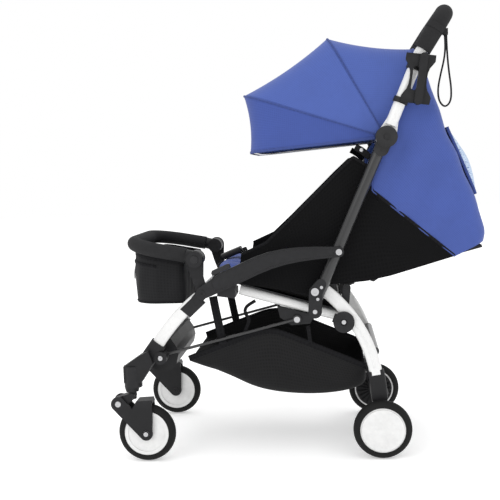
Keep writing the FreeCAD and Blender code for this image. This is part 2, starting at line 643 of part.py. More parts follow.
def accessory_clip():
    """An I-shaped dock on the left leg of the handle, held by two clamp rings round the tube."""
    heading = degrees(atan2(CLIP_TOP[1] - CLIP_BASE[1], CLIP_TOP[0] - CLIP_BASE[0]))

    def spot(along, across):
        return polar(polar(CLIP_BASE, along, heading), across, heading - 90)

    half = [(0, 31), (14, 32.5), (22, 28), (30, 22.5), (40, 19.5), (54, 18.5), (68, 19.5), (78, 22.5),
            (86, 28), (93, 32.5), (107, 32)]
    outline = [spot(a, -w) for a, w in half] + [spot(a, w) for a, w in reversed(half)]
    y1 = -UPRIGHT_Y - HANDLE_R - 1.0
    board = plate(outline, y1 - 9, y1)
    rib = link([(*spot(6, 6), 9.0), (*spot(101, 6), 9.0)], y1 - 15.5, y1)
    window = link([(*spot(34, -7.5), 6.0), (*spot(74, -7.5), 6.0)], y1 - 20, y1 + 2)
    body = fused([board.cut(window), rib.cut(window)])
    foot = polar(HANDLE_HINGE, 27.0, 68.4)
    lean = degrees(atan2(HANDLE_KINK[1] - foot[1], HANDLE_KINK[0] - foot[0]))
    rings = [rod(at(polar(foot, start, lean), -UPRIGHT_Y), at(polar(foot, start + 12, lean), -UPRIGHT_Y),
                 HANDLE_R + 3.5) for start in (52, 130)]
    return fused([body] + rings).cut(push_handle())


# The wrist strap: a loop of narrow webbing that hangs from a sewn band round the grip.
STRAP_D = 4.0
STRAP_ROUTE = [(425.5, -192.5, 952), (427, -193, 930), (424, -194, 900), (415, -195, 866), (408.5, -195, 834),
               (411, -195, 808), (424, -194, 794), (437.5, -192, 807), (439, -190, 836), (435, -188, 868),
               (432, -187.5, 900), (430.5, -187.3, 930), (430, -187.3, 952)]


def strap_band():
    """The sewn band round the foam grip that the wrist strap hangs from."""
    middle = (407.0, 970.0)
    heading = degrees(atan2(CROSSBAR[1] - HANDLE_KINK[1], CROSSBAR[0] - HANDLE_KINK[0]))
    a, b = polar(middle, -7, heading), polar(middle, 7, heading)
    ring = rod(at(a, -UPRIGHT_Y), at(b, -UPRIGHT_Y), FOAM_R + 1.4)
    ring = ring.cut(rod(at(polar(a, -3, heading), -UPRIGHT_Y), at(polar(b, 3, heading), -UPRIGHT_Y), FOAM_R + 0.05))
    tab = Part.makeBox(10.0, 12.0, 14.0, V(422.5, -196.0, 952.0))
    return fused([ring, tab]).cut(rod(at(polar(a, -3, heading), -UPRIGHT_Y),
                                      at(polar(b, 3, heading), -UPRIGHT_Y), FOAM_R + 0.05))


def cord_tube(route, diameter):
    """A cord: straight runs between the route's points, joined by the largest tangent arcs."""
    points = [V(*p) for p in route]
    radii = []
    for before, corner, after in zip(points, points[1:], points[2:]):
        shorter = min((corner - before).Length, (after - corner).Length)
        half_turn = (corner - before).getAngle(after - corner) / 2
        radii.append(0.45 * shorter / tan(half_turn))
    print("strap arc radii:", " ".join(f"{r:.0f}" for r in radii))
    path = bent_path(points, radii)
    tube = round_tube(path, diameter / 2)
    print(f"strap length {path.Length:.0f} mm, volume ratio "
          f"{tube.Volume / (path.Length * pi * diameter ** 2 / 4):.4f}")
    return tube


def handle():
    """The push handle, its grip, the accessory dock and the wrist strap."""
    grip = Part.makeCompound([foam_grip(), strap_band()])
    return {"push_handle": push_handle(), "foam_grip": grip, "accessory_clip": accessory_clip(),
            "wrist_strap": cord_tube(STRAP_ROUTE, STRAP_D)}


# ---------------------------------------------------------------- armrests and front bar

def armrest():
    """A side bar from the upright to the front joint, deep at the front and slim at the rear."""
    chain = [(*FRONT_LEG_PIVOT, 14.0), (-76.0, 424.0, 20.0), (-44.0, 437.8, 20.0), (-6.0, 454.6, 19.8),
             (27.0, 466.5, 19.2), (61.0, 474.3, 17.8), (94.0, 478.7, 16.2), (128.0, 481.0, 14.4),
             (160.0, 481.8, 12.7), (*ARMREST_PIVOT, 11.5)]
    body = link(chain, -ARMREST_Y[1], -ARMREST_Y[0])
    body = body.cut(pin(ARMREST_PIVOT, 4.0 + RUNNING_GAP, -230, -190))
    return body.cut(pin(FRONT_LEG_PIVOT, 4.0, -230, -190))


def front_bracket():
    """The casting behind an armrest's front end: it butts on the seat tube and backs the leg's pin."""
    x1 = SEAT_FRONT_X - 5.0
    outer = plate([(x1 - 42, 386), (x1 - 2, 380), (x1, 386), (x1, 412), (x1 - 6, 417), (x1 - 40, 414)],
                  -ARMREST_Y[0], -162.0)
    lug = plate([(x1 - 40, 388), (x1 - 2, 381), (x1, 386), (x1, 400), (x1 - 40, 408)],
                -162.5, -SEAT_TUBE_Y + SEAT_TUBE_R)
    return fused([outer, lug]).cut(pin(FRONT_LEG_PIVOT, 21.0, -FRONT_LEG_Y - 12, -FRONT_LEG_Y + 12))


def leg_pin():
    """The hinge pin of a front leg, fixed in the armrest."""
    left = pin(FRONT_LEG_PIVOT, 4.0, -ARMREST_Y[1], -FRONT_LEG_Y + 12)
    head = bolt_head(FRONT_LEG_PIVOT, -ARMREST_Y[1], -1, 7.0, 2.0)
    end = pin(FRONT_LEG_PIVOT, 8.0, -FRONT_LEG_Y + 9.6, -FRONT_LEG_Y + 12)
    return fused([left, head, end])


def latch_slider():
    """The thumb slider on top of an armrest's front end that unlocks the fold."""
    heading = degrees(atan2(467.0 - 424.0, 24.0 + 76.0))
    base = polar((-76.0, 424.0), 21.0, heading + 90)

    def spot(along, up):
        return polar(polar(base, along, heading), up, heading + 90)

    y0, y1 = -ARMREST_Y[1] + 1.0, -ARMREST_Y[0] - 1.0
    block = plate([spot(-22, 0), spot(24, 0), spot(24, 9), spot(20, 11), spot(-18, 11), spot(-22, 7)], y0, y1)
    for i in range(4):
        groove = rod(at(spot(8 + 4 * i, 11.6), y0 - 1), at(spot(8 + 4 * i, 11.6), y1 + 1), 1.2)
        block = block.cut(groove)
    return block


def bar_bracket():
    """The arm plate that stands on the front joint and carries the padded front bar."""
    chain = [(*FRONT_LEG_PIVOT, 11.0), (-141.0, 430.0, 13.0), (*BAR_JOINT, 20.0)]
    body = link(chain, -BAR_BRACKET_Y[1], -BAR_BRACKET_Y[0])
    body = body.cut(pin(FRONT_LEG_PIVOT, 4.0, -230, -190))
    hub = pin(BAR_JOINT, 19.0, -BAR_BRACKET_Y[1] - 7.0, -BAR_BRACKET_Y[1])
    body = fused([body, hub])
    return body.cut(pin(BAR_JOINT, 9.0 + RUNNING_GAP, -230, -190))


def bar_button():
    """The release button at the middle of the front bar's joint."""
    face = -BAR_BRACKET_Y[1] - 7.0
    return pin(BAR_JOINT, 9.0, face + 8.0, face - 2.5)


BAR_RISE = 10.8
BAR_Y = 172.0
BAR_FRONT_X = -309.0


def on_bar(x):
    """Height of the front bar's middle at x."""
    return BAR_JOINT[1] + 2 + (BAR_JOINT[0] - x) * tan(radians(BAR_RISE))


def bar_path(start_x):
    """Half of the front bar's U, from the left joint to the middle of its front."""
    y = -BAR_Y
    points = [V(start_x, y, on_bar(start_x)), V(BAR_FRONT_X, y, on_bar(BAR_FRONT_X)),
              V(BAR_FRONT_X, 0, on_bar(BAR_FRONT_X))]
    return bent_path(points, [88.0])


def front_bar():
    """The bar's steel tube, in one U."""
    return u_tube(bar_path(-160.0), 7.0)


def bar_foam():
    """The padded sleeve on the front bar."""
    return u_tube(bar_path(-172.0), BAR_FOAM_R).cut(u_tube(bar_path(-160.0), 7.0))


def bar_end():
    """The end housing of the front bar, which turns on the arm plate."""
    hub = pin(BAR_JOINT, 18.5, -BAR_BRACKET_Y[0] + 0.6, -BAR_Y + 14)
    neck = rod(V(BAR_JOINT[0], -BAR_Y - 3, on_bar(BAR_JOINT[0]) - 2), V(-171.6, -BAR_Y - 3, on_bar(-171.6)), 15.0)
    return fused([hub, neck]).cut(u_tube(bar_path(-160.0), 7.0)).cut(u_tube(bar_path(-172.0), BAR_FOAM_R))


def foot_pouch():
    """A bag that hangs inside the front bar, open at the top, its rim just under the bar's foam."""
    def ring(x0, x1, half, z, inset):
        r = 60.0
        a, b, w = x0 + inset, x1 - inset, half - inset
        corner = [V(b, -w, z), V(a + r, -w, z)]
        front = [V(a, -w + r, z), V(a, w - r, z)]
        edges = [Part.LineSegment(corner[0], corner[1]).toShape(),
                 Part.Arc(corner[1], V(a + r * 0.2929, -w + r * 0.2929, z), front[0]).toShape(),
                 Part.LineSegment(front[0], front[1]).toShape(),
                 Part.Arc(front[1], V(a + r * 0.2929, w - r * 0.2929, z), V(a + r, w, z)).toShape(),
                 Part.LineSegment(V(a + r, w, z), V(b, w, z)).toShape(),
                 Part.LineSegment(V(b, w, z), V(b, -w, z)).toShape()]
        return Part.Wire(edges)

    top, bottom = 494.0, 359.0
    outer = Part.makeLoft([ring(-314, -180, 150, bottom, 0), ring(-303, -184, 153, top, 0)], True, True)
    inner = Part.makeLoft([ring(-314, -180, 150, bottom + 3, 2.5), ring(-303, -184, 153, top + 3, 2.5)], True, True)
    under = BAR_FOAM_R + 1.2
    above = plate([(-170.0, on_bar(-170.0) - under), (-340.0, on_bar(-340.0) - under), (-340.0, top + 20),
                   (-170.0, top + 20)], -170, 170)
    return outer.cut(inner).cut(above)


def armrests_and_bar():
    """Armrests, their brackets and latches, and the padded front bar with its pouch."""
    nodes = {"armrests": both(armrest()), "front_brackets": both(front_bracket(), bar_bracket(), leg_pin())}
    nodes.update(pair("latch_slider", latch_slider()))
    nodes.update(pair("bar_button", bar_button()))
    nodes["front_bar"] = front_bar()
    nodes["bar_foam"] = bar_foam()
    nodes["bar_ends"] = both(bar_end())
    nodes["foot_pouch"] = foot_pouch()
    return nodes


# ---------------------------------------------------------------- canopy

def bow_frame(angle):
    """The plane of a bow: its outward direction, from the hinge line."""
    return V(cos(radians(angle)), 0, sin(radians(angle)))


def bow(name):
    """A canopy bow: a wire bent over the seat, with an eye round the hub pin at each end."""
    angle, reach, half = BOW_ANGLES[name], BOW_REACH[name] - BOW_INSET, BOW_HALF[name]
    out = bow_frame(angle)
    hinge = V(HANDLE_HINGE[0], 0, HANDLE_HINGE[1])
    corners = [hinge + out * r + V(0, y, 0) for r, y in ((6, -half), (reach, -half), (reach, half), (6, half))]
    wire = round_tube(bent_path(corners, [CANOPY_CORNER - BOW_INSET] * 2), BOW_R)
    eyes = [pin(HANDLE_HINGE, 9.0, y - 2.2, y + 2.2) for y in (-half, half)]
    body = wire.multiFuse(eyes)
    hub = CANOPY_Y + 4.0
    if name == "rear":
        stubs = [pin(HANDLE_HINGE, 4.0, side * hub, side * (BOW_HALF["brim"] - 3)) for side in (-1, 1)]
        return body.multiFuse(stubs)
    return body.cut(pin(HANDLE_HINGE, 4.0 + RUNNING_GAP, -hub, hub))


def canopy_band(angle, reach):
    """A closed thin band in a bow's plane: the outline of the fabric there."""
    out = bow_frame(angle)
    hinge = V(HANDLE_HINGE[0], 0, HANDLE_HINGE[1])
    k = 1 - 1 / sqrt(2)

    def spot(r, y):
        return hinge + out * r + V(0, y, 0)

    def half_turns(inset):
        w, r, c = CANOPY_Y - inset, reach - inset, CANOPY_CORNER - inset
        return [(spot(HUB_R + 4, -w), None), (spot(r - c, -w), spot(r - c * k, -w + c * k)),
                (spot(r, -w + c), None), (spot(r, w - c), spot(r - c * k, w - c * k)),
                (spot(r - c, w), None), (spot(HUB_R + 4, w), None)]

    def run(knots):
        edges = []
        for (here, middle), (there, _) in zip(knots, knots[1:]):
            shape = Part.Arc(here, middle, there) if middle else Part.LineSegment(here, there)
            edges.append(shape.toShape())
        return edges

    outer, inner = half_turns(0.0), half_turns(FABRIC)
    ends = [Part.LineSegment(outer[-1][0], inner[-1][0]).toShape(),
            Part.LineSegment(inner[0][0], outer[0][0]).toShape()]
    return Part.Wire(Part.__sortEdges__(run(outer) + ends + run(inner)))


def canopy_panel(start, end):
    """A curved sheet of canopy between two bows, a degree short of each."""
    a0, a1 = BOW_ANGLES[start], BOW_ANGLES[end]
    r0, r1 = BOW_REACH[start], BOW_REACH[end]
    gap = 0.5
    return Part.makeLoft([canopy_band(a0 + gap, r0), canopy_band(a1 - gap, r1)], True, True)


DRAPE_EDGE = [(369.0, 924.5), (392.0, 872.0), (430.0, 757.0), (494.0, 610.0), (521.0, 518.0), (515.0, 494.0)]
DRAPE_SEAM = [(446.0, 460.0), (262.0, 614.0), (310.0, 756.0)]


def rear_drape():
    """The cloth from the rear bow down to the backrest's head end: two sides and a back."""
    whole = plate(DRAPE_EDGE + DRAPE_SEAM, -CANOPY_Y, CANOPY_Y)
    low = [(x - FABRIC, z - 0.6 * FABRIC) for x, z in DRAPE_EDGE]
    low[0] = (340.0, 940.0)
    low[-1] = (515.0 - 4 * FABRIC, 480.0)
    room = plate(low + [(430.0, 440.0), (240.0, 600.0), (270.0, 760.0)],
                 -CANOPY_Y + FABRIC, CANOPY_Y - FABRIC)
    return whole.cut(room)


SIDE_OUTLINE = [(-42.0, 477.0), (16.0, 502.0), (219.0, 692.0), (223.0, 716.0), (246.0, 704.0), (259.0, 690.0),
                (259.0, 616.0), (443.0, 461.0), (395.0, 446.0), (346.0, 433.0), (246.0, 409.0),
                (186.0, 403.0), (138.0, 405.0), (118.0, 380.0), (-52.0, 411.0)]


def side_panel():
    """The cloth side of the seat, from the seat tube up to the hinge and back to the drape."""
    return plate(SIDE_OUTLINE, -SIDE_FABRIC_Y - FABRIC, -SIDE_FABRIC_Y)


def canopy():
    """Bows, canopy panels, drape and side cloth."""
    nodes = {"canopy_bow_" + name: bow(name) for name in BOW_ANGLES}
    nodes["canopy_rear_panel"] = canopy_panel("rear", "mid")
    nodes["canopy_top_panel"] = canopy_panel("mid", "front")
    nodes["canopy_brim_panel"] = canopy_panel("front", "brim")
    nodes["rear_drape"] = rear_drape()
    nodes["side_panels"] = both(side_panel())
    return nodes


# ---------------------------------------------------------------- backrest and basket

def backrest():
    """The reclined back: board, cushion, shoulder straps and the strap buckle under it."""
    nodes = {}
    w = BACK_HALF_WIDTH
    board = back_slab(4, BACK_LENGTH, 6, 12, -w, w)
    hinge_rod = pin(RECLINE_HINGE, 5.0, -w - 8, w + 8)
    tab = [on_back(-4, 2), on_back(20, 4), on_back(20, 7), on_back(-2, 7)]
    tabs = [plate(tab, y, y + 20) for y in (-w, w - 20)]
    nodes["backrest_board"] = fused([board, hinge_rod] + tabs)
    nodes["back_cushion"] = back_slab(10, BACK_LENGTH - 4, 12.4, 38, -w, w)
    straps = [back_slab(40, 250, 38.4, 40.6, y - 13, y + 13) for y in (-62.0, 62.0)]
    nodes["shoulder_straps"] = Part.makeCompound(straps)
    tab = plate([(252, 405), (262, 388), (270, 386), (316, 418), (316, 424), (300, 423)], -9, 9)
    board_cut = back_slab(-10, BACK_LENGTH, 5.6, 20, -w, w)
    nodes["recline_buckle"] = tab.cut(board_cut)
    return nodes


BASKET_RIM = [(-176.0, 226.0), (-80.0, 262.0), (6.0, 288.0), (70.0, 268.0), (112.0, 257.0), (238.0, 206.0)]
BASKET_FLOOR = [(244.0, 157.0), (200.0, 139.0), (124.0, 130.0), (40.0, 136.0), (-27.0, 150.0), (-90.0, 181.0)]
BASKET_Y = 150.0


def basket():
    """The shopping basket: a sling of cloth, open at the top."""
    whole = plate(BASKET_RIM + BASKET_FLOOR, -BASKET_Y, BASKET_Y)
    floor = [(x, z + 3) for x, z in BASKET_FLOOR]
    floor[0] = (241.0, 160.0)
    floor[-1] = (-92.0, 186.0)
    rim = [(-168.0, 229.0), (-84.0, 300.0), (6.0, 330.0), (112.0, 300.0), (235.0, 240.0)]
    return whole.cut(plate(rim + floor, -BASKET_Y + FABRIC, BASKET_Y - FABRIC))


def basket_straps():
    """The webbing that hangs the basket from the front brackets and the seat tubes."""
    left = []
    y = -BASKET_Y
    left.append(plate([(-124, 378), (-103, 378), (-84, 262), (-106, 262)], y - 3, y - 1))
    left.append(plate([(104, 303), (111, 303), (116, 262), (107, 262)], y - 2.6, y - 0.6))
    left.append(plate([(-44, 374), (-36, 371), (-24, 322), (-32, 284), (-39, 284), (-32, 322)], y - 2.6, y - 0.6))
    return Part.makeCompound(left + [mirrored(s) for s in left])


def soft_goods():
    """Backrest, and the basket with its straps."""
    nodes = backrest()
    nodes["basket"] = Part.makeCompound([basket()] + basket_straps().Solids)
    return nodes


# ---------------------------------------------------------------- export

def main():
    """Builds every node, checks its solids and writes one STEP file each."""
    os.makedirs("parts", exist_ok=True)
    nodes = {}
    for group in (front_end, rear_end, seat_frame, uprights, handle, armrests_and_bar, canopy, soft_goods):
        nodes.update(group())
    box = FreeCAD.BoundBox()
    for name, shape in nodes.items():
        shape.translate(ORIGIN_SHIFT)
        bad = [s for s in shape.Solids if not s.isValid() or s.Volume < 1]
        if bad or not shape.Solids:
            print("not a valid solid:", name)
        shape.exportStep(f"parts/{name}.step")
        if name != "wrist_strap":
            box.add(shape.BoundBox)
    print(f"{len(nodes)} nodes; x {box.XMin:.1f} {box.XMax:.1f}  y {box.YMin:.1f} {box.YMax:.1f}"
          f"  z {box.ZMin:.1f} {box.ZMax:.1f}")


main()
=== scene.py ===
import logging
import math
from dataclasses import dataclass
from enum import Enum
from typing import Callable, Sequence

import bpy
import numpy as np
from mathutils import Matrix, Vector


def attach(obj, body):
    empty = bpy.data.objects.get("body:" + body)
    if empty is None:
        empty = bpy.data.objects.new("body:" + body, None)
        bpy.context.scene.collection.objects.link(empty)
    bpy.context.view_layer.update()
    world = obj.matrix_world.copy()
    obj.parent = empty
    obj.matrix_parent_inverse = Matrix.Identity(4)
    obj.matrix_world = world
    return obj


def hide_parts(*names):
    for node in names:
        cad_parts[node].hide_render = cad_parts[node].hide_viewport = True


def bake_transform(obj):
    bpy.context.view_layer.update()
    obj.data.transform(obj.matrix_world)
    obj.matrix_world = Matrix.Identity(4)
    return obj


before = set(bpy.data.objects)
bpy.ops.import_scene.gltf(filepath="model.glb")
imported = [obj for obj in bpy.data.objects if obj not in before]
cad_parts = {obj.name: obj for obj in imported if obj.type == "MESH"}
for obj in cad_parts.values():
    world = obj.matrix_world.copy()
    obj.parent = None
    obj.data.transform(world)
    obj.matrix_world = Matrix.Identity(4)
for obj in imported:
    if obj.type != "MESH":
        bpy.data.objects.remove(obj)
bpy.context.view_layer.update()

log = logging.getLogger("stroller")

# All places below are in millimetres from the middle of the wheelbase on the floor, X towards the
# push handle and -Y the left side. SHIFT moves them to the frame's origin.
MM = 0.001
SHIFT = np.array([-83.5, 0.0, 0.0])
HINGE = np.array([295.0, 0.0, 735.0])
REAR_AXLE_X = 274.0
AXLE_HEIGHT = 67.5
SIDES: tuple[int, int] = (-1, 1)


# ---------------------------------------------------------------- numpy surfaces

def row_frame(points: np.ndarray) -> np.ndarray:
    """Millimetres from the middle of the wheelbase to metres in the shared frame."""
    return (np.asarray(points, dtype=float) + SHIFT) * MM


def along(points: Sequence[Sequence[float]], t: np.ndarray) -> np.ndarray:
    """Points at fractions t of a broken line's length, by linear steps between its corners.

    Args:
        points: the corners, any number of columns.
        t: fractions from 0 to 1.

    Returns:
        An array with one row for each fraction.
    """
    p = np.asarray(points, dtype=float)
    s = np.concatenate([[0.0], np.cumsum(np.linalg.norm(np.diff(p, axis=0), axis=1))])
    return np.stack([np.interp(t * s[-1], s, p[:, k]) for k in range(p.shape[1])], axis=-1)


def eased(points: Sequence[Sequence[float]], count: int, rounds: int = 3) -> np.ndarray:
    """A broken line as a smooth one: corners are cut at a quarter and three quarters of each side,
    again and again, and the result is spaced evenly.

    Args:
        points: the corners.
        count: how many points to give back.
        rounds: how many times the corners are cut.

    Returns:
        An array of count rows.
    """
    p = np.asarray(points, dtype=float)
    for _ in range(rounds):
        q = np.empty((2 * (len(p) - 1), p.shape[1]))
        q[0::2] = 0.75 * p[:-1] + 0.25 * p[1:]
        q[1::2] = 0.25 * p[:-1] + 0.75 * p[1:]
        p = np.concatenate([p[:1], q, p[-1:]])
    return along(p, np.linspace(0, 1, count))


def xz(points: Sequence[Sequence[float]], y: float) -> np.ndarray:
    """(x, z) places as 3-D points in the side plane y."""
    p = np.asarray(points, dtype=float)
    return np.stack([p[:, 0], np.full(len(p), y), p[:, 1]], axis=-1)


def mesh_object(name: str, points: np.ndarray, faces: np.ndarray, uv: np.ndarray | None) -> bpy.types.Object:
    """A mesh object from whole arrays.

    Args:
        name: the piece's name.
        points: (n, 3) places in millimetres.
        faces: (m, 4) point numbers of each quad.
        uv: (m * 4, 2) texture places in metres, or None.

    Returns:
        The linked object, smooth shaded.
    """
    mesh = bpy.data.meshes.new(name)
    mesh.from_pydata(row_frame(points).tolist(), [], faces.tolist())
    mesh.polygons.foreach_set("use_smooth", np.ones(len(mesh.polygons), dtype=bool))
    if uv is not None:
        layer = mesh.uv_layers.new(name="weave")
        layer.data.foreach_set("uv", uv.ravel())
    obj = bpy.data.objects.new(name, mesh)
    bpy.context.scene.collection.objects.link(obj)
    return obj


def grid_object(name: str, grid: np.ndarray, wrap_v: bool = False) -> bpy.types.Object:
    """A sheet from a grid of points: neighbours make quads, and the UV map is the mean length
    walked along each direction, in metres.

    Args:
        name: the piece's name.
        grid: (rows, columns, 3) places in millimetres.
        wrap_v: whether the last column joins the first.

    Returns:
        The object.
    """
    rows, cols = grid.shape[:2]
    index = np.arange(rows * cols).reshape(rows, cols)
    if wrap_v:
        index = np.concatenate([index, index[:, :1]], axis=1)
    quads = [index[:-1, :-1], index[:-1, 1:], index[1:, 1:], index[1:, :-1]]
    faces = np.stack(quads, axis=-1).reshape(-1, 4)
    full = np.concatenate([grid, grid[:, :1]], axis=1) if wrap_v else grid
    u = np.concatenate([[0], np.cumsum(np.linalg.norm(np.diff(full, axis=0), axis=2).mean(axis=1))]) * MM
    v = np.concatenate([[0], np.cumsum(np.linalg.norm(np.diff(full, axis=1), axis=2).mean(axis=0))]) * MM
    place = np.stack(np.meshgrid(u, v, indexing="ij"), axis=-1)
    corner = np.stack([place[:-1, :-1], place[:-1, 1:], place[1:, 1:], place[1:, :-1]], axis=2)
    return mesh_object(name, grid.reshape(-1, 3), faces, corner.reshape(-1, 2))


def normals(grid: np.ndarray) -> np.ndarray:
    """Unit normals of a grid: the cross product of the slopes along rows and columns."""
    n = np.cross(np.gradient(grid, axis=0), np.gradient(grid, axis=1))
    return n / np.maximum(np.linalg.norm(n, axis=2, keepdims=True), 1e-9)


def swept(name: str, path: np.ndarray, width: float, height: float, side: Sequence[float] | None = None,
          corners: int = 12, power: float = 2.0) -> bpy.types.Object:
    """A closed strip along a path: at each point a superellipse, |a/w|^p + |b/h|^p = 1, stands square
    to the path, its width along the given side direction. Both ends are drawn to a point.

    Args:
        name: the piece's name.
        path: (n, 3) places in millimetres.
        width: full size along the side direction.
        height: full size square to it.
        side: the width's direction, or None for +Y.
        corners: points round the section.
        power: 2 for an ellipse, more for a squarer section.

    Returns:
        The object.
    """
    path = np.asarray(path, dtype=float)
    tangent = np.gradient(path, axis=0)
    tangent /= np.maximum(np.linalg.norm(tangent, axis=1, keepdims=True), 1e-9)
    hint = np.asarray(side if side is not None else (0.0, 1.0, 0.0), dtype=float)
    hint = np.broadcast_to(hint, path.shape)
    across = hint - (hint * tangent).sum(axis=1, keepdims=True) * tangent
    across /= np.maximum(np.linalg.norm(across, axis=1, keepdims=True), 1e-9)
    up = np.cross(tangent, across)
    a = np.linspace(0, 2 * math.pi, corners, endpoint=False)
    c = np.sign(np.cos(a)) * np.abs(np.cos(a)) ** (2 / power) * width / 2
    s = np.sign(np.sin(a)) * np.abs(np.sin(a)) ** (2 / power) * height / 2
    ring = path[:, None] + across[:, None] * c[None, :, None] + up[:, None] * s[None, :, None]
    ends = [np.repeat(path[i][None, None], corners, axis=1) for i in (0, -1)]
    return grid_object(name, np.concatenate([ends[0], ring, ends[1]]), wrap_v=True)


def solidify(obj: bpy.types.Object, thickness: float, inner_slot: int = 0, offset: float = -1.0) -> None:
    """Gives a sheet a thickness in millimetres, on its back; the back may take another material.

    Args:
        obj: the object.
        thickness: thickness in millimetres.
        inner_slot: how many slots on from the front's the back's material is.
        offset: where the sheet lies in its thickness, -1 for the outside.
    """
    mod = obj.modifiers.new("thickness", "SOLIDIFY")
    mod.thickness = thickness * MM
    mod.offset = offset
    mod.material_offset = inner_slot
    mod.use_even_offset = False


def tidy_join(name: str, parts: list[bpy.types.Object]) -> bpy.types.Object:
    """Joins objects into one named piece.

    Args:
        name: the piece's name.
        parts: the objects; the first one is kept.

    Returns:
        The joined piece.
    """
    with bpy.context.temp_override(active_object=parts[0], selected_editable_objects=parts,
                                   selected_objects=parts, object=parts[0]):
        if len(parts) > 1:
            bpy.ops.object.join()
    parts[0].name = name
    parts[0].data.name = name
    return parts[0]


# ---------------------------------------------------------------- shader groups

class Weave(Enum):
    """How a cloth is woven: threads per metre across the UV map, and how deep it is cut."""

    PLAIN = (900.0, 0.35)
    RIPSTOP = (1400.0, 0.25)
    NET = (320.0, 0.9)
    WEBBING = (700.0, 0.8)


class Shared:
    """Shader node groups that several finishes use, each built once."""

    _made: dict[str, bpy.types.NodeTree] = {}

    @classmethod
    def group(cls, name: str, inputs: dict[str, tuple[str, float]], outputs: dict[str, str],
              fill: Callable[[bpy.types.NodeTree, bpy.types.Node, bpy.types.Node], None]
              ) -> bpy.types.NodeTree:
        """Makes a group on first use.

        Args:
            name: the group's name.
            inputs: name to (socket type, default).
            outputs: name to socket type.
            fill: builds its nodes, given the tree and its input and output nodes.

        Returns:
            The group.
        """
        if name not in cls._made:
            tree = bpy.data.node_groups.new(name, "ShaderNodeTree")
            for key, (kind, value) in inputs.items():
                socket = tree.interface.new_socket(name=key, in_out="INPUT", socket_type=kind)
                if kind == "NodeSocketFloat":
                    socket.default_value = value
            for key, kind in outputs.items():
                tree.interface.new_socket(name=key, in_out="OUTPUT", socket_type=kind)
            fill(tree, tree.nodes.new("NodeGroupInput"), tree.nodes.new("NodeGroupOutput"))
            cls._made[name] = tree
        return cls._made[name]

    @classmethod
    def weave(cls) -> bpy.types.NodeTree:
        """Crossed threads: two sine bands at right angles, the higher one on top.

        Returns:
            The group.
        """
        def fill(tree: bpy.types.NodeTree, given: bpy.types.Node, out: bpy.types.Node) -> None:
            """Two waves at right angles and the greater of them.

            Args:
                tree: the group's node tree.
                given: the group's input node.
                out: the group's output node.
            """
            heights = []
            for axis in ("X", "Y"):
                wave = tree.nodes.new("ShaderNodeTexWave")
                wave.bands_direction = axis
                wave.inputs["Distortion"].default_value = 0.35
                wave.inputs["Detail"].default_value = 1.0
                tree.links.new(given.outputs["Vector"], wave.inputs["Vector"])
                tree.links.new(given.outputs["Threads"], wave.inputs["Scale"])
                heights.append(wave.outputs["Fac"])
            top = tree.nodes.new("ShaderNodeMath")
            top.operation = "MAXIMUM"
            tree.links.new(heights[0], top.inputs[0])
            tree.links.new(heights[1], top.inputs[1])
            tree.links.new(top.outputs[0], out.inputs["Height"])
        given = {"Vector": ("NodeSocketVector", 0), "Threads": ("NodeSocketFloat", 300)}
        return cls.group("crossed_threads", given, {"Height": "NodeSocketFloat"}, fill)

    @classmethod
    def mottle(cls) -> bpy.types.NodeTree:
        """Slow and quick noise mixed into one value about 0.5: handling marks, creases and dust.

        Returns:
            The group.
        """
        def fill(tree: bpy.types.NodeTree, given: bpy.types.Node, out: bpy.types.Node) -> None:
            """Two noises, the second six times as fine, and their mix.

            Args:
                tree: the group's node tree.
                given: the group's input node.
                out: the group's output node.
            """
            values = []
            for factor, detail in ((1.0, 3.0), (6.0, 5.0)):
                size = tree.nodes.new("ShaderNodeMath")
                size.operation = "MULTIPLY"
                size.inputs[1].default_value = factor
                tree.links.new(given.outputs["Scale"], size.inputs[0])
                noise = tree.nodes.new("ShaderNodeTexNoise")
                noise.inputs["Detail"].default_value = detail
                tree.links.new(given.outputs["Vector"], noise.inputs["Vector"])
                tree.links.new(size.outputs[0], noise.inputs["Scale"])
                values.append(noise.outputs["Fac"])
            mix = tree.nodes.new("ShaderNodeMix")
            mix.inputs["Factor"].default_value = 0.4
            tree.links.new(values[0], mix.inputs["A"])
            tree.links.new(values[1], mix.inputs["B"])
            tree.links.new(mix.outputs["Result"], out.inputs["Value"])
        return cls.group("mottle", {"Vector": ("NodeSocketVector", 0), "Scale": ("NodeSocketFloat", 12)},
                         {"Value": "NodeSocketFloat"}, fill)

    @classmethod
    def edge_wear(cls) -> bpy.types.NodeTree:
        """A mask that is 1 on sharp outer edges: pointiness above its mean, broken up by noise.

        Returns:
            The group.
        """
        def fill(tree: bpy.types.NodeTree, given: bpy.types.Node, out: bpy.types.Node) -> None:
            """The pointiness as a mask, times a noise.

            Args:
                tree: the group's node tree.
                given: the group's input node.
                out: the group's output node.
            """
            geometry = tree.nodes.new("ShaderNodeNewGeometry")
            noise = tree.nodes.new("ShaderNodeTexNoise")
            noise.inputs["Scale"].default_value = 90.0
            tree.links.new(given.outputs["Vector"], noise.inputs["Vector"])
            ramp = tree.nodes.new("ShaderNodeMapRange")
            ramp.inputs["From Min"].default_value = 0.52
            ramp.inputs["From Max"].default_value = 0.62
            tree.links.new(geometry.outputs["Pointiness"], ramp.inputs["Value"])
            worn = tree.nodes.new("ShaderNodeMath")
            worn.operation = "MULTIPLY"
            tree.links.new(ramp.outputs["Result"], worn.inputs[0])
            tree.links.new(noise.outputs["Fac"], worn.inputs[1])
            tree.links.new(worn.outputs[0], out.inputs["Mask"])
        return cls.group("edge_wear", {"Vector": ("NodeSocketVector", 0)}, {"Mask": "NodeSocketFloat"}, fill)


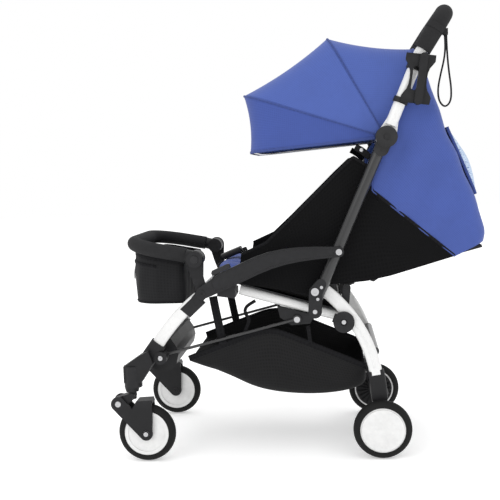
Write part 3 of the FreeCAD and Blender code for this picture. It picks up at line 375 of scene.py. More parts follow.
class Shader:
    """A small builder round one material's node tree."""

    def __init__(self, name: str) -> None:
        """Makes the material and finds its shader.

        Args:
            name: the piece's name.
        """
        self.material = bpy.data.materials.new(name)
        self.material.use_nodes = True
        self.tree = self.material.node_tree
        self.bsdf = self.tree.nodes["Principled BSDF"]
        self.place = self.tree.nodes.new("ShaderNodeTexCoord")

    def add(self, kind: str, **values: object) -> bpy.types.Node:
        """A node with properties set by name.

        Args:
            kind: the node's type.
            values: values to set, by name.

        Returns:
            The node.
        """
        node = self.tree.nodes.new(kind)
        for key, value in values.items():
            setattr(node, key, value)
        return node

    def link(self, a: bpy.types.NodeSocket, b: bpy.types.NodeSocket) -> None:
        """Joins two sockets."""
        self.tree.links.new(a, b)

    def use(self, tree: bpy.types.NodeTree, vector: str = "Object", **values: float) -> bpy.types.Node:
        """Places a shared group, fed with coordinates and its own values.

        Args:
            tree: the group's node tree.
            vector: which coordinates feed it.
            values: values to set, by name.

        Returns:
            The group node.
        """
        node = self.add("ShaderNodeGroup", node_tree=tree)
        self.link(self.place.outputs[vector], node.inputs["Vector"])
        for key, value in values.items():
            node.inputs[key].default_value = value
        return node

    def tint(self, factor: bpy.types.NodeSocket, low: Sequence[float], high: Sequence[float],
             span: tuple[float, float] = (0.3, 0.7)) -> bpy.types.NodeSocket:
        """A colour that runs from low to high as a value crosses a span.

        Args:
            factor: the value that is followed.
            low: what it gives at the low end.
            high: what it gives at the high end.
            span: where the value starts and where it ends.

        Returns:
            The colour socket.
        """
        ramp = self.add("ShaderNodeValToRGB")
        ramp.color_ramp.elements[0].position, ramp.color_ramp.elements[1].position = span
        ramp.color_ramp.elements[0].color = (*low, 1.0)
        ramp.color_ramp.elements[1].color = (*high, 1.0)
        self.link(factor, ramp.inputs["Fac"])
        return ramp.outputs["Color"]

    def span(self, factor: bpy.types.NodeSocket, low: float, high: float) -> bpy.types.NodeSocket:
        """A value that runs from low to high as another runs from 0.25 to 0.75.

        Args:
            factor: the value that is followed.
            low: what it gives at the low end.
            high: what it gives at the high end.

        Returns:
            The value socket.
        """
        node = self.add("ShaderNodeMapRange")
        node.inputs["From Min"].default_value, node.inputs["From Max"].default_value = 0.25, 0.75
        node.inputs["To Min"].default_value, node.inputs["To Max"].default_value = low, high
        self.link(factor, node.inputs["Value"])
        return node.outputs["Result"]

    def bump(self, height: bpy.types.NodeSocket, strength: float, distance: float,
             under: bpy.types.NodeSocket | None = None) -> bpy.types.NodeSocket:
        """A bump from a height, on top of another normal where one is given.

        Args:
            height: the height.
            strength: how strong the bump is, from 0 to 1.
            distance: its depth in metres.
            under: the normal underneath, or None.

        Returns:
            The normal socket.
        """
        node = self.add("ShaderNodeBump")
        node.inputs["Strength"].default_value = strength
        node.inputs["Distance"].default_value = distance
        self.link(height, node.inputs["Height"])
        if under is not None:
            self.link(under, node.inputs["Normal"])
        return node.outputs["Normal"]


def shade(color: Sequence[float], factor: float) -> tuple[float, ...]:
    """A colour made lighter or darker."""
    return tuple(min(c * factor, 1.0) for c in color)


# ---------------------------------------------------------------- finishes

@dataclass(frozen=True)
class Cloth:
    """Woven cloth: threads on the UV map, slow creases, sheen on grazing sides."""

    name: str
    color: tuple[float, float, float]
    weave: Weave = Weave.PLAIN
    contrast: float = 0.12
    creases: float = 0.25
    sheen: float = 0.25
    shine: float = 0.25
    roughness: float = 0.78

    def build(self) -> bpy.types.Material:
        """Makes the material.

        Returns:
            The material.
        """
        m = Shader(self.name)
        threads, depth = self.weave.value
        weave = m.use(Shared.weave(), "UV", Threads=threads / 20)
        mottle = m.use(Shared.mottle(), "Object", Scale=14.0)
        crease = m.use(Shared.mottle(), "Object", Scale=5.0)
        blend = m.add("ShaderNodeMix", data_type="FLOAT")
        blend.inputs["Factor"].default_value = 0.35
        m.link(mottle.outputs["Value"], blend.inputs["A"])
        m.link(weave.outputs["Height"], blend.inputs["B"])
        m.link(m.tint(blend.outputs["Result"], shade(self.color, 1 - self.contrast),
                      shade(self.color, 1 + self.contrast)), m.bsdf.inputs["Base Color"])
        m.link(m.span(mottle.outputs["Value"], self.roughness - 0.06, self.roughness + 0.08),
               m.bsdf.inputs["Roughness"])
        normal = m.bump(crease.outputs["Value"], self.creases, 0.004)
        m.link(m.bump(weave.outputs["Height"], depth * 0.5, 0.0004, normal), m.bsdf.inputs["Normal"])
        m.bsdf.inputs["Sheen Weight"].default_value = self.sheen
        m.bsdf.inputs["Sheen Roughness"].default_value = 0.5
        m.bsdf.inputs["Specular IOR Level"].default_value = self.shine
        return m.material


@dataclass(frozen=True)
class Net:
    """Open net cloth over a lining: small holes that show the colour behind."""

    name: str
    thread: tuple[float, float, float]
    behind: tuple[float, float, float]

    def build(self) -> bpy.types.Material:
        """Makes the material.

        Returns:
            The material.
        """
        m = Shader(self.name)
        cells = m.add("ShaderNodeTexVoronoi", feature="DISTANCE_TO_EDGE")
        cells.inputs["Scale"].default_value = 260.0
        m.link(m.place.outputs["UV"], cells.inputs["Vector"])
        mottle = m.use(Shared.mottle(), "Object", Scale=9.0)
        m.link(m.tint(cells.outputs["Distance"], self.thread, self.behind, (0.10, 0.32)),
               m.bsdf.inputs["Base Color"])
        m.link(m.span(mottle.outputs["Value"], 0.7, 0.9), m.bsdf.inputs["Roughness"])
        m.link(m.bump(cells.outputs["Distance"], 0.5, 0.0008), m.bsdf.inputs["Normal"])
        return m.material


@dataclass(frozen=True)
class Moulded:
    """Moulded plastic: spark-eroded grain, a little mottling, lighter worn edges."""

    name: str
    color: tuple[float, float, float]
    roughness: float = 0.5
    grain: float = 0.25
    wear: float = 1.8
    coat: float = 0.0
    shine: float = 0.22

    def build(self) -> bpy.types.Material:
        """Makes the material.

        Returns:
            The material.
        """
        m = Shader(self.name)
        mottle = m.use(Shared.mottle(), "Object", Scale=18.0)
        worn = m.use(Shared.edge_wear(), "Object")
        base = m.tint(mottle.outputs["Value"], shade(self.color, 0.9), shade(self.color, 1.1))
        mix = m.add("ShaderNodeMix", data_type="RGBA")
        m.link(worn.outputs["Mask"], mix.inputs["Factor"])
        m.link(base, mix.inputs["A"])
        mix.inputs["B"].default_value = (*shade(self.color, self.wear), 1.0)
        m.link(mix.outputs["Result"], m.bsdf.inputs["Base Color"])
        m.link(m.span(mottle.outputs["Value"], self.roughness - 0.05, self.roughness + 0.07),
               m.bsdf.inputs["Roughness"])
        fine = m.add("ShaderNodeTexNoise")
        fine.inputs["Scale"].default_value = 1400.0
        m.link(m.place.outputs["Object"], fine.inputs["Vector"])
        m.link(m.bump(fine.outputs["Fac"], self.grain, 0.0003), m.bsdf.inputs["Normal"])
        m.bsdf.inputs["Specular IOR Level"].default_value = self.shine
        if self.coat:
            m.bsdf.inputs["Coat Weight"].default_value = self.coat
            m.bsdf.inputs["Coat Roughness"].default_value = 0.12
        return m.material


@dataclass(frozen=True)
class Metal:
    """Bare or painted metal: streaks along one way, fine scratches in the roughness."""

    name: str
    color: tuple[float, float, float]
    metallic: float = 1.0
    roughness: float = 0.3
    coat: float = 0.0

    def build(self) -> bpy.types.Material:
        """Makes the material.

        Returns:
            The material.
        """
        m = Shader(self.name)
        stretch = m.add("ShaderNodeMapping")
        stretch.inputs["Scale"].default_value = (1.0, 12.0, 1.0)
        m.link(m.place.outputs["Object"], stretch.inputs["Vector"])
        streak = m.add("ShaderNodeTexNoise")
        streak.inputs["Scale"].default_value = 60.0
        streak.inputs["Detail"].default_value = 6.0
        m.link(stretch.outputs["Vector"], streak.inputs["Vector"])
        mottle = m.use(Shared.mottle(), "Object", Scale=10.0)
        m.link(m.tint(mottle.outputs["Value"], shade(self.color, 0.94), shade(self.color, 1.04)),
               m.bsdf.inputs["Base Color"])
        m.link(m.span(streak.outputs["Fac"], self.roughness * 0.85, self.roughness * 1.25),
               m.bsdf.inputs["Roughness"])
        m.link(m.bump(streak.outputs["Fac"], 0.04, 0.0003), m.bsdf.inputs["Normal"])
        m.bsdf.inputs["Metallic"].default_value = self.metallic
        if self.coat:
            m.bsdf.inputs["Coat Weight"].default_value = self.coat
            m.bsdf.inputs["Coat Roughness"].default_value = 0.08
        return m.material


@dataclass(frozen=True)
class Foam:
    """Closed-cell foam or tyre rubber: small pits and a dusty bloom."""

    name: str
    color: tuple[float, float, float]
    pit: float = 420.0
    depth: float = 0.35
    roughness: float = 0.85

    def build(self) -> bpy.types.Material:
        """Makes the material.

        Returns:
            The material.
        """
        m = Shader(self.name)
        cells = m.add("ShaderNodeTexVoronoi")
        cells.inputs["Scale"].default_value = self.pit
        m.link(m.place.outputs["Object"], cells.inputs["Vector"])
        mottle = m.use(Shared.mottle(), "Object", Scale=20.0)
        m.link(m.tint(mottle.outputs["Value"], shade(self.color, 0.8), shade(self.color, 1.3)),
               m.bsdf.inputs["Base Color"])
        m.link(m.span(mottle.outputs["Value"], self.roughness - 0.1, self.roughness + 0.08),
               m.bsdf.inputs["Roughness"])
        m.link(m.bump(cells.outputs["Distance"], self.depth, 0.0005), m.bsdf.inputs["Normal"])
        m.bsdf.inputs["Specular IOR Level"].default_value = 0.18
        return m.material


class Finishes:
    """Every finish of the stroller, each built once."""

    def __init__(self) -> None:
        """Builds the materials."""
        blue = (0.062, 0.102, 0.335)
        self.canopy = Cloth("blue_canopy_cloth", blue, Weave.RIPSTOP, 0.10, 0.3, 0.12).build()
        # the brim's cloth is the canopy cloth made darker: painted shade on the brim
        self.brim = Cloth("blue_brim_cloth_painted_shade", (0.046, 0.078, 0.285), Weave.RIPSTOP, 0.10, 0.3, 0.12).build()
        self.drape = Cloth("blue_drape_cloth", (0.052, 0.086, 0.300),
                           Weave.RIPSTOP, 0.12, 0.45, 0.12).build()
        self.liner = Cloth("blue_lining", (0.070, 0.125, 0.38), Weave.RIPSTOP, 0.08, 0.2, 0.1).build()
        self.blue_binding = Cloth("blue_binding", (0.036, 0.060, 0.21),
                                  Weave.WEBBING, 0.15, 0.1, 0.12).build()
        self.seat = Cloth("black_seat_cloth", (0.012, 0.012, 0.013),
                          Weave.PLAIN, 0.18, 0.35, 0.03, 0.06).build()
        self.side = Cloth("black_side_cloth", (0.0062, 0.0062, 0.0066),
                          Weave.PLAIN, 0.2, 0.5, 0.0, 0.04).build()
        self.basket = Cloth("black_basket_cloth", (0.013, 0.013, 0.0135),
                            Weave.PLAIN, 0.2, 0.5, 0.03, 0.08).build()
        self.pouch = Cloth("black_pouch_cloth", (0.015, 0.015, 0.016),
                           Weave.PLAIN, 0.2, 0.5, 0.03, 0.1).build()
        self.webbing = Cloth("black_webbing", (0.009, 0.009, 0.010),
                             Weave.WEBBING, 0.25, 0.1, 0.03, 0.08).build()
        self.strap = Cloth("wrist_strap_webbing", (0.012, 0.012, 0.014),
                           Weave.WEBBING, 0.25, 0.1, 0.05, 0.1).build()
        self.net = Net("pocket_net", (0.50, 0.60, 0.74), (0.16, 0.24, 0.44)).build()
        self.black = Moulded("black_moulding", (0.011, 0.011, 0.012), 0.45).build()
        self.charcoal = Moulded("charcoal_moulding", (0.016, 0.016, 0.017), 0.42).build()
        self.grey = Moulded("grey_moulding", (0.30, 0.30, 0.30), 0.45).build()
        self.white = Moulded("white_wheel_moulding", (0.74, 0.74, 0.735), 0.32, 0.08, 1.02, 0.2, 0.3).build()
        self.white_paint = Metal("white_leg_paint", (0.74, 0.74, 0.735), 0.0, 0.26, 0.4).build()
        self.black_paint = Metal("black_frame_paint", (0.012, 0.012, 0.013), 0.0, 0.3, 0.3).build()
        self.steel = Metal("plated_steel", (0.48, 0.48, 0.49), 1.0, 0.28).build()
        self.foam = Foam("grip_foam", (0.019, 0.019, 0.020)).build()
        self.tyre = Foam("tyre_rubber", (0.008, 0.008, 0.008), 700.0, 0.2, 0.7).build()


def dress(obj: bpy.types.Object, *materials: bpy.types.Material) -> bpy.types.Object:
    """Puts materials in an object's slots.

    Args:
        obj: the object.
        materials: one material for each slot.

    Returns:
        The same object.
    """
    obj.data.materials.clear()
    for material in materials:
        obj.data.materials.append(material)
    return obj


def trim(piece: bpy.types.Object, look: bpy.types.Material, body: str) -> None:
    """Gives a small piece its finish and the body that it rides on.

    Args:
        piece: the object.
        look: its material.
        body: the body's name.
    """
    dress(piece, look)
    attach(piece, body)


def cad(node: str) -> bpy.types.Object:
    """The CAD object of a node."""
    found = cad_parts[node]
    return found if isinstance(found, bpy.types.Object) else bpy.data.objects[node]


# ---------------------------------------------------------------- studio and cord

@dataclass
class Studio:
    """Pale floor, soft lights and the camera. Angles are in degrees, the eye in millimetres."""

    lens: float = 61.88
    azimuth: float = 5.21
    elevation: float = 5.21
    roll: float = -1.95
    eye: tuple[float, float, float] = (159.0, -2143.0, 668.0)

    def camera(self) -> None:
        """Places the camera: it looks along the azimuth and elevation, then rolls about its own axis."""
        data = bpy.data.cameras.new("camera")
        data.lens = self.lens
        data.sensor_width = 36.0
        data.dof.use_dof = False
        cam = bpy.data.objects.new("camera", data)
        bpy.context.scene.collection.objects.link(cam)
        bpy.context.scene.camera = cam
        a, e, r = (math.radians(v) for v in (self.azimuth, self.elevation, self.roll))
        ahead = np.array([-math.sin(a) * math.cos(e), math.cos(a) * math.cos(e), -math.sin(e)])
        right = np.array([math.cos(a), math.sin(a), 0.0])
        up = np.cross(right, ahead)
        turned_right = right * math.cos(r) + up * math.sin(r)
        turned_up = -right * math.sin(r) + up * math.cos(r)
        matrix = np.eye(4)
        matrix[:3, 0], matrix[:3, 1], matrix[:3, 2] = turned_right, turned_up, -ahead
        matrix[:3, 3] = row_frame(np.array(self.eye))
        cam.matrix_world = Matrix(matrix.tolist())

    def floor(self) -> None:
        """A wide pale floor."""
        size = 12000.0
        t = np.linspace(-size, size, 3)
        x, y = np.meshgrid(t, t, indexing="ij")
        floor = grid_object("studio_floor", np.stack([x, y, np.full_like(x, -0.5)], axis=-1))
        m = Shader("pale_floor")
        mottle = m.use(Shared.mottle(), "Object", Scale=2.0)
        m.link(m.tint(mottle.outputs["Value"], (0.975, 0.975, 0.975), (0.995, 0.995, 0.995)),
               m.bsdf.inputs["Base Color"])
        m.bsdf.inputs["Roughness"].default_value = 0.9
        m.bsdf.inputs["Specular IOR Level"].default_value = 0.0
        m.bsdf.inputs["Emission Color"].default_value = (1.0, 1.0, 1.0, 1.0)
        m.bsdf.inputs["Emission Strength"].default_value = 0.28
        dress(floor, m.material)

    def lights(self) -> None:
        """A white surround and three large soft lights."""
        world = bpy.data.worlds.new("studio")
        world.use_nodes = True
        back = world.node_tree.nodes["Background"]
        back.inputs["Color"].default_value = (1.0, 1.0, 1.0, 1.0)
        back.inputs["Strength"].default_value = 1.0
        bpy.context.scene.world = world
        bpy.context.scene.view_settings.view_transform = "Standard"
        for name, place, power, size in (("key", (-1500, -2300, 2300), 13.0, 1.8),
                                         ("fill", (2100, -1700, 1500), 6.0, 1.8),
                                         ("top", (100, 100, 3000), 11.0, 2.4)):
            data = bpy.data.lights.new(name, "AREA")
            data.energy = power
            data.size = size
            lamp = bpy.data.objects.new(name, data)
            bpy.context.scene.collection.objects.link(lamp)
            lamp.location = row_frame(np.array(place, dtype=float))
            aim = row_frame(np.array([90.0, 0.0, 450.0])) - np.array(lamp.location)
            lamp.rotation_mode = "QUATERNION"
            lamp.rotation_quaternion = Vector(aim.tolist()).to_track_quat("-Z", "Y")

    def build(self) -> None:
        """Camera, floor and lights."""
        self.camera()
        self.floor()
        self.lights()


@dataclass
class WristStrap:
    """The loop of narrow webbing that hangs from the sewn band on the grip."""

    diameter: float = 4.0
    route: tuple[tuple[float, float, float], ...] = (
        (425.5, -192.5, 952), (427, -193, 930), (424, -194, 900), (415, -195, 866), (408.5, -195, 834),
        (411, -195, 808), (424, -194, 794), (437.5, -192, 807), (439, -190, 836), (435, -188, 868),
        (432, -187.5, 900), (430.5, -187.3, 930), (430, -187.3, 952))

    def path(self) -> np.ndarray:
        """Points along the route's own smooth spline, of order 3, that starts and ends at its ends.

        Returns:
            (n, 3) places in millimetres.
        """
        data = bpy.data.curves.new("wrist_strap_route", "CURVE")
        data.dimensions = "3D"
        data.resolution_u = 10
        spline = data.splines.new("NURBS")
        spline.points.add(len(self.route) - 1)
        places = np.ones((len(self.route), 4))
        places[:, :3] = row_frame(np.asarray(self.route, dtype=float))
        spline.points.foreach_set("co", places.ravel())
        spline.order_u = 3
        spline.use_endpoint_u = True
        holder = bpy.data.objects.new("wrist_strap_route", data)
        line = bpy.data.meshes.new_from_object(holder)
        points = np.empty(len(line.vertices) * 3)
        line.vertices.foreach_get("co", points)
        bpy.data.objects.remove(holder)
        bpy.data.meshes.remove(line)
        bpy.data.curves.remove(data)
        return points.reshape(-1, 3) / MM - SHIFT

    def build(self, finish: Finishes) -> None:
        """Args:
            finish: the stroller's finishes.
        """
        path = self.path()
        strap = swept("wrist_strap_loop", path, self.diameter, self.diameter, (0.0, 1.0, 0.0), 10, 3.0)
        dress(strap, finish.strap)
        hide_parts("wrist_strap")
        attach(strap, "handle")


# ---------------------------------------------------------------- canopy

@dataclass
class Bow:
    """A canopy bow: its angle about the hinge from +X, and how far out it reaches."""

    angle: float
    reach: float
    body: str


@dataclass
class Canopy:
    """Blue cloth over four bows that fan from the hinges."""

    half_width: float = 171.0
    corner: float = 60.0
    hub: float = 20.0
    sag: float = 7.0
    across: int = 96
    around: int = 28
    bows: tuple[Bow, ...] = (Bow(71.0, 211.0, "uprights"), Bow(118.6, 264.0, "canopy_mid"),
                             Bow(161.4, 341.0, "canopy_front"), Bow(184.3, 313.0, "canopy_brim"))

    def bow_line(self, bow: Bow, inset: float = 0.0, count: int | None = None) -> np.ndarray:
        """The cloth's line over a bow: straight out from the left hub, round a corner, across and back.

        Args:
            bow: the bow.
            inset: how far inside the cloth's outer line.
            count: points to give, the class's own by default.

        Returns:
            (count, 3) places.
        """
        w, r, c = self.half_width - inset, bow.reach - inset, self.corner - inset
        turn = np.linspace(0, math.pi / 2, 12)
        left = np.stack([r - c + c * np.sin(turn), -(w - c) - c * np.cos(turn)], axis=-1)
        right = left[::-1] * (1, -1)
        flat = np.concatenate([[[self.hub, -w]], left, right, [[self.hub, w]]])
        flat = along(flat, np.linspace(0, 1, count or self.across))
        a = math.radians(bow.angle)
        return HINGE + np.stack([flat[:, 0] * math.cos(a), flat[:, 1], flat[:, 0] * math.sin(a)], axis=-1)

    def panel_grid(self, start: Bow, end: Bow) -> np.ndarray:
        """Straight lines between two bows, pulled in towards the seat by a parabola of the sag, with
        fine gathers that fan out from the hubs and fade to nothing at the bows.

        Args:
            start: the bow at its rear.
            end: the bow at its front.

        Returns:
            A grid of places.
        """
        t = np.linspace(0, 1, self.around)[:, None, None]
        a, b = self.bow_line(start)[None], self.bow_line(end)[None]
        grid = a * (1 - t) + b * t
        n = normals(grid)
        middle = HINGE + (0.0, 0.0, 60.0)
        n *= np.sign(((grid - middle) * n).sum(axis=2, keepdims=True))
        u = np.linspace(0, 1, self.across)[None, :, None]
        belly = 4 * t * (1 - t)
        top = np.clip(np.sin(math.pi * u) * 1.6, 0, 1)
        near_hub = np.exp(-((np.minimum(u, 1 - u) - 0.05) / 0.09) ** 2)
        gathers = 0.9 * np.sin(26 * u * math.pi + 3 * t) * near_hub
        return grid + n * (-self.sag * belly * (0.35 + 0.65 * top) + gathers * belly)

    def panel(self, name: str, start: Bow, end: Bow, node: str, outer: bpy.types.Material,
              inner: bpy.types.Material) -> None:
        """Builds one panel between two bows.

        Args:
            name: the piece's name.
            start: the bow at its rear.
            end: the bow at its front.
            node: the CAD node it stands for.
            outer: cloth outside.
            inner: lining.
        """
        grid = self.panel_grid(start, end)
        obj = grid_object(name, grid)
        mid = np.mean([start.angle, end.angle])
        centre = HINGE + np.array([math.cos(math.radians(mid)), 0, math.sin(math.radians(mid))]) * 150
        face_outwards(obj, centre * (1, 0, 1) - (0, 0, 60))
        solidify(obj, 1.6, inner_slot=1)
        dress(obj, outer, inner)
        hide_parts(node)
        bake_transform(obj)

    def bindings(self, finish: Finishes) -> None:
        """Raised seams over each bow, and the bound front edge of the brim.

        Args:
            finish: the stroller's finishes.
        """
        for bow, label, width in zip(self.bows, ("rear", "mid", "front", "brim"), (5.0, 4.0, 4.0, 6.0)):
            line = self.bow_line(bow, -0.5, 140)
            a = math.radians(bow.angle)
            tangent = np.array([-math.sin(a), 0.0, math.cos(a)])
            seam = swept("canopy_seam_" + label, line, width, 1.8, tangent, 10, 3.0)
            trim(seam, finish.blue_binding, bow.body)

    def snap_tabs(self, finish: Finishes) -> None:
        """A tab of webbing with a press stud on each side, from the brim's lower edge to the hinge.

        Args:
            finish: the stroller's finishes.
        """
        for side in SIDES:
            y = side * (self.half_width + 2.2)
            label = "left" if side < 0 else "right"
            line = eased(xz([(226, 716), (244, 705), (259, 690)], y), 24)
            tab = swept("snap_tab_" + label, line, 2.0, 15.0, (0, 1, 0), 12, 4.0)
            dress(tab, finish.webbing)
            stud = lathe("snap_stud_" + label, (240.0, y + side * 1.0, 708.0),
                         ((0.0, 2.4), (3.2, 2.2), (4.6, 1.2), (5.0, 0.0)), side)
            dress(stud, finish.steel)
            for piece in (tab, stud):
                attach(piece, "uprights")

    def build(self, finish: Finishes) -> None:
        """Panels, seams and tabs.

        Args:
            finish: the stroller's finishes.
        """
        rear, mid, front, brim = self.bows
        self.panel("canopy_rear_cloth", rear, mid, "canopy_rear_panel", finish.canopy, finish.liner)
        self.panel("canopy_top_cloth", mid, front, "canopy_top_panel", finish.canopy, finish.liner)
        # the brim panel takes the darker cloth, which carries painted shade
        self.panel("canopy_brim_cloth", front, brim, "canopy_brim_panel", finish.brim, finish.liner)
        self.bindings(finish)
        self.snap_tabs(finish)
        log.info("canopy: three panels over four bows")


def grid_area(grid: np.ndarray) -> float:
    """Area of a grid in square metres: half the cross product of each quad's diagonals.

    Args:
        grid: a grid of places in millimetres.

    Returns:
        The area.
    """
    d1 = grid[1:, 1:] - grid[:-1, :-1]
    d2 = grid[1:, :-1] - grid[:-1, 1:]
    return float(np.linalg.norm(np.cross(d1, d2), axis=2).sum() / 2) * MM * MM


def face_outwards(obj: bpy.types.Object, centre: np.ndarray) -> None:
    """Turns a sheet's faces over if, taken together, they look at the centre.

    Args:
        obj: the object.
        centre: a place inside the sheet, in millimetres.
    """
    mesh = obj.data
    count = len(mesh.polygons)
    normal, middle, area = np.empty(count * 3), np.empty(count * 3), np.empty(count)
    mesh.polygons.foreach_get("normal", normal)
    mesh.polygons.foreach_get("center", middle)
    mesh.polygons.foreach_get("area", area)
    away = middle.reshape(-1, 3) - row_frame(np.asarray(centre, dtype=float))
    if ((normal.reshape(-1, 3) * away).sum(axis=1) * area).sum() < 0:
        mesh.flip_normals()


def lathe(name: str, foot: Sequence[float], profile: Sequence[tuple[float, float]], side: int,
          steps: int = 40) -> bpy.types.Object:
    """A turned cap on an axis along Y: (radius, height) pairs carried round in a full circle, the
    last pair at the foot, closed there by a flat disc.

    Args:
        name: the piece's name.
        foot: centre of the foot.
        profile: from the tip down to the foot.
        side: -1 if it stands out to the left, 1 to the right.
        steps: points round it.

    Returns:
        The object.
    """
    p = np.asarray(tuple(profile) + ((0.0, profile[-1][1]),))
    a = np.linspace(0, 2 * math.pi, steps, endpoint=False) * -side
    r, h = p[:, :1], p[:, 1:]
    grid = np.stack([foot[0] + r * np.cos(a), foot[1] + side * h + 0 * a, foot[2] + r * np.sin(a)], axis=-1)
    obj = grid_object(name, grid, wrap_v=True)
    face_outwards(obj, np.array(foot))
    return obj


# ---------------------------------------------------------------- drape and side cloth

@dataclass
class RearDrape:
    """Blue cloth from the rear bow down to the head end of the backrest, with a net pocket behind."""

    half_width: float = 170.5
    corner: float = 34.0
    edge: tuple[tuple[float, float], ...] = ((364, 933), (395, 873), (432, 758), (464, 682), (493, 610),
                                             (512, 545), (519, 516), (514, 494))
    front: tuple[tuple[float, float], ...] = ((301, 752), (263, 700), (262, 640), (262, 615), (330, 557),
                                              (400, 498), (445, 461))
    rows: int = 64
    cols: int = 110

    def grid(self) -> np.ndarray:
        """Rows run from the rear bow down to the backrest. Each row starts on the left side seam,
        goes back to the rear edge, turns a rounded corner, crosses and comes back on the right.
        Soft folds are sines in the side walls that fade at seams and edges.

        Returns:
            A grid of places.
        """
        t = np.linspace(0, 1, self.rows)
        rear, seam = eased(self.edge, self.rows, 2), along(self.front, t ** 0.8)
        w, c = self.half_width, self.corner
        turn = np.linspace(0, math.pi / 2, 10)
        rows = []
        for (ex, ez), (fx, fz) in zip(rear, seam):
            reach = max(math.hypot(ex - fx, ez - fz), 1.0)
            c_here = min(c, reach * 0.45)
            left = np.stack([reach - c_here + c_here * np.sin(turn),
                             -(w - c_here) - c_here * np.cos(turn)], axis=-1)
            flat = np.concatenate([[[0.0, -w]], left, left[::-1] * (1, -1), [[0.0, w]]])
            flat = along(flat, np.linspace(0, 1, self.cols))
            rows.append(np.stack([fx + (ex - fx) * flat[:, 0] / reach, flat[:, 1],
                                  fz + (ez - fz) * flat[:, 0] / reach], axis=-1))
        grid = np.array(rows)
        u, v = np.linspace(0, 1, self.cols)[None, :], t[:, None]
        fade = np.sin(math.pi * v)
        fold = 2.2 * np.sin(9.0 * v * math.pi + 5.0 * np.sin(5 * u)) + 1.6 * np.sin(31 * u + 4 * v)
        n = normals(grid)
        n *= np.sign(((grid - (330.0, 0.0, 640.0)) * n).sum(axis=2, keepdims=True))
        return grid + n * (fade * (fold * 0.8 - 2.0))[..., None]

    def pocket(self, finish: Finishes) -> None:
        """The net pocket: a patch over the back that stands off in the middle, bound round its edge.

        Args:
            finish: the stroller's finishes.
        """
        z = np.linspace(752, 600, 34)
        rear = np.asarray(self.edge)[::-1]
        x = np.interp(z, rear[1:, 1], rear[1:, 0])
        y = np.linspace(-138, 138, 60)
        v, u = np.linspace(0, 1, 34)[:, None], np.linspace(0, 1, 60)[None, :]
        fall = np.sin(math.pi * np.clip(v * 0.94 + 0.04, 0, 1) ** 1.25) ** 0.8
        belly = 27.0 * (np.sin(math.pi * u) ** 0.35) * fall
        pleats = 1.2 * np.sin(34 * u) * (1 - v)
        off = 1.5 + belly + pleats
        grid = np.stack([x[:, None] + off * 0.9, y[None, :] + 0 * v,
                         z[:, None] + off * 0.42 + 0 * u], axis=-1)
        net = grid_object("rear_net_pocket", grid)
        face_outwards(net, np.array([300.0, 0.0, 650.0]))
        solidify(net, 0.8)
        dress(net, finish.net)
        rim = np.concatenate([grid[:, 0][::-1], grid[0, 1:], grid[1:, -1], grid[-1, ::-1][1:]])
        rim = along(rim, np.linspace(0, 1, 220))
        edge = swept("rear_pocket_binding", rim, 7.0, 2.4, (1, 0, 0.4), 8, 3.0)
        dress(edge, finish.blue_binding)
        for piece in (net, edge):
            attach(piece, "uprights")

    def build(self, finish: Finishes) -> None:
        """The drape, its bound seams and the pocket.

        Args:
            finish: the stroller's finishes.
        """
        grid = self.grid()
        drape = grid_object("rear_drape_cloth", grid)
        face_outwards(drape, np.array([330.0, 0.0, 640.0]))
        solidify(drape, 1.6, inner_slot=1)
        dress(drape, finish.drape, finish.liner)
        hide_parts("rear_drape")
        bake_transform(drape)
        for column, label in ((0, "left"), (-1, "right")):
            piping = swept("drape_seam_" + label, grid[:, column], 3.4, 3.4, (0, 1, 0), 10)
            dress(piping, finish.blue_binding)
            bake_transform(piping)
        self.pocket(finish)
        log.info("rear drape: %.2f square metres", grid_area(grid))


@dataclass
class SideCloth:
    """Black cloth sides of the seat, from the seat tube to the hinge and the drape."""

    y: float = 170.0
    low: tuple[tuple[float, float], ...] = (
        (-52, 411), (30, 395), (118, 382), (136, 404), (186, 404), (246, 409), (300, 420), (346, 433),
        (443, 461))
    high: tuple[tuple[float, float], ...] = (
        (-42, 477), (16, 502), (70, 551), (130, 608), (180, 656), (221, 693), (252, 672), (262, 616),
        (444, 463))

    def grid(self, side: int) -> np.ndarray:
        """Straight lines between matching places on the lower and upper borders, with a soft billow:
        a product of sines, pushed outwards, and creases that run up from the seat.

        Args:
            side: -1 for the left, 1 for the right.

        Returns:
            A grid of places.
        """
        cols, rows = 90, 26
        knots = np.linspace(0, 1, len(self.low))
        u = np.linspace(0, 1, cols)
        low = np.stack([np.interp(u, knots, np.array(self.low)[:, k]) for k in (0, 1)], axis=-1)
        high = np.stack([np.interp(u, knots, np.array(self.high)[:, k]) for k in (0, 1)], axis=-1)
        v = np.linspace(0, 1, rows)[:, None]
        flat = low[None] * (1 - v[..., None]) + high[None] * v[..., None]
        billow = np.sin(math.pi * u)[None] * np.sin(math.pi * v)
        crease = 0.7 * np.sin(22 * u[None] + 5 * v) * billow
        y = side * (self.y - 1.2 * billow + crease)
        return np.stack([flat[..., 0], y, flat[..., 1]], axis=-1)

    def build(self, finish: Finishes) -> None:
        """Both sides, hemmed along the top.

        Args:
            finish: the stroller's finishes.
        """
        parts, hems = [], []
        for side in SIDES:
            grid = self.grid(side)
            part = grid_object("side_part", grid)
            face_outwards(part, np.array([200.0, 0.0, 500.0]))
            parts.append(part)
            hems.append(swept("hem_part", grid[-1], 2.6, 7.0, (0, 1, 0), 10, 3.0))
        cloth = tidy_join("seat_side_cloth", parts)
        solidify(cloth, 1.6)
        hem = tidy_join("seat_side_hem", hems)
        dress(cloth, finish.side)
        dress(hem, finish.webbing)
        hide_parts("side_panels")
        for piece in (cloth, hem):
            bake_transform(piece)
        round(grid_area(self.grid(1)) * 2, 4)
        log.info("side cloth: two sides")


# ---------------------------------------------------------------- cushions

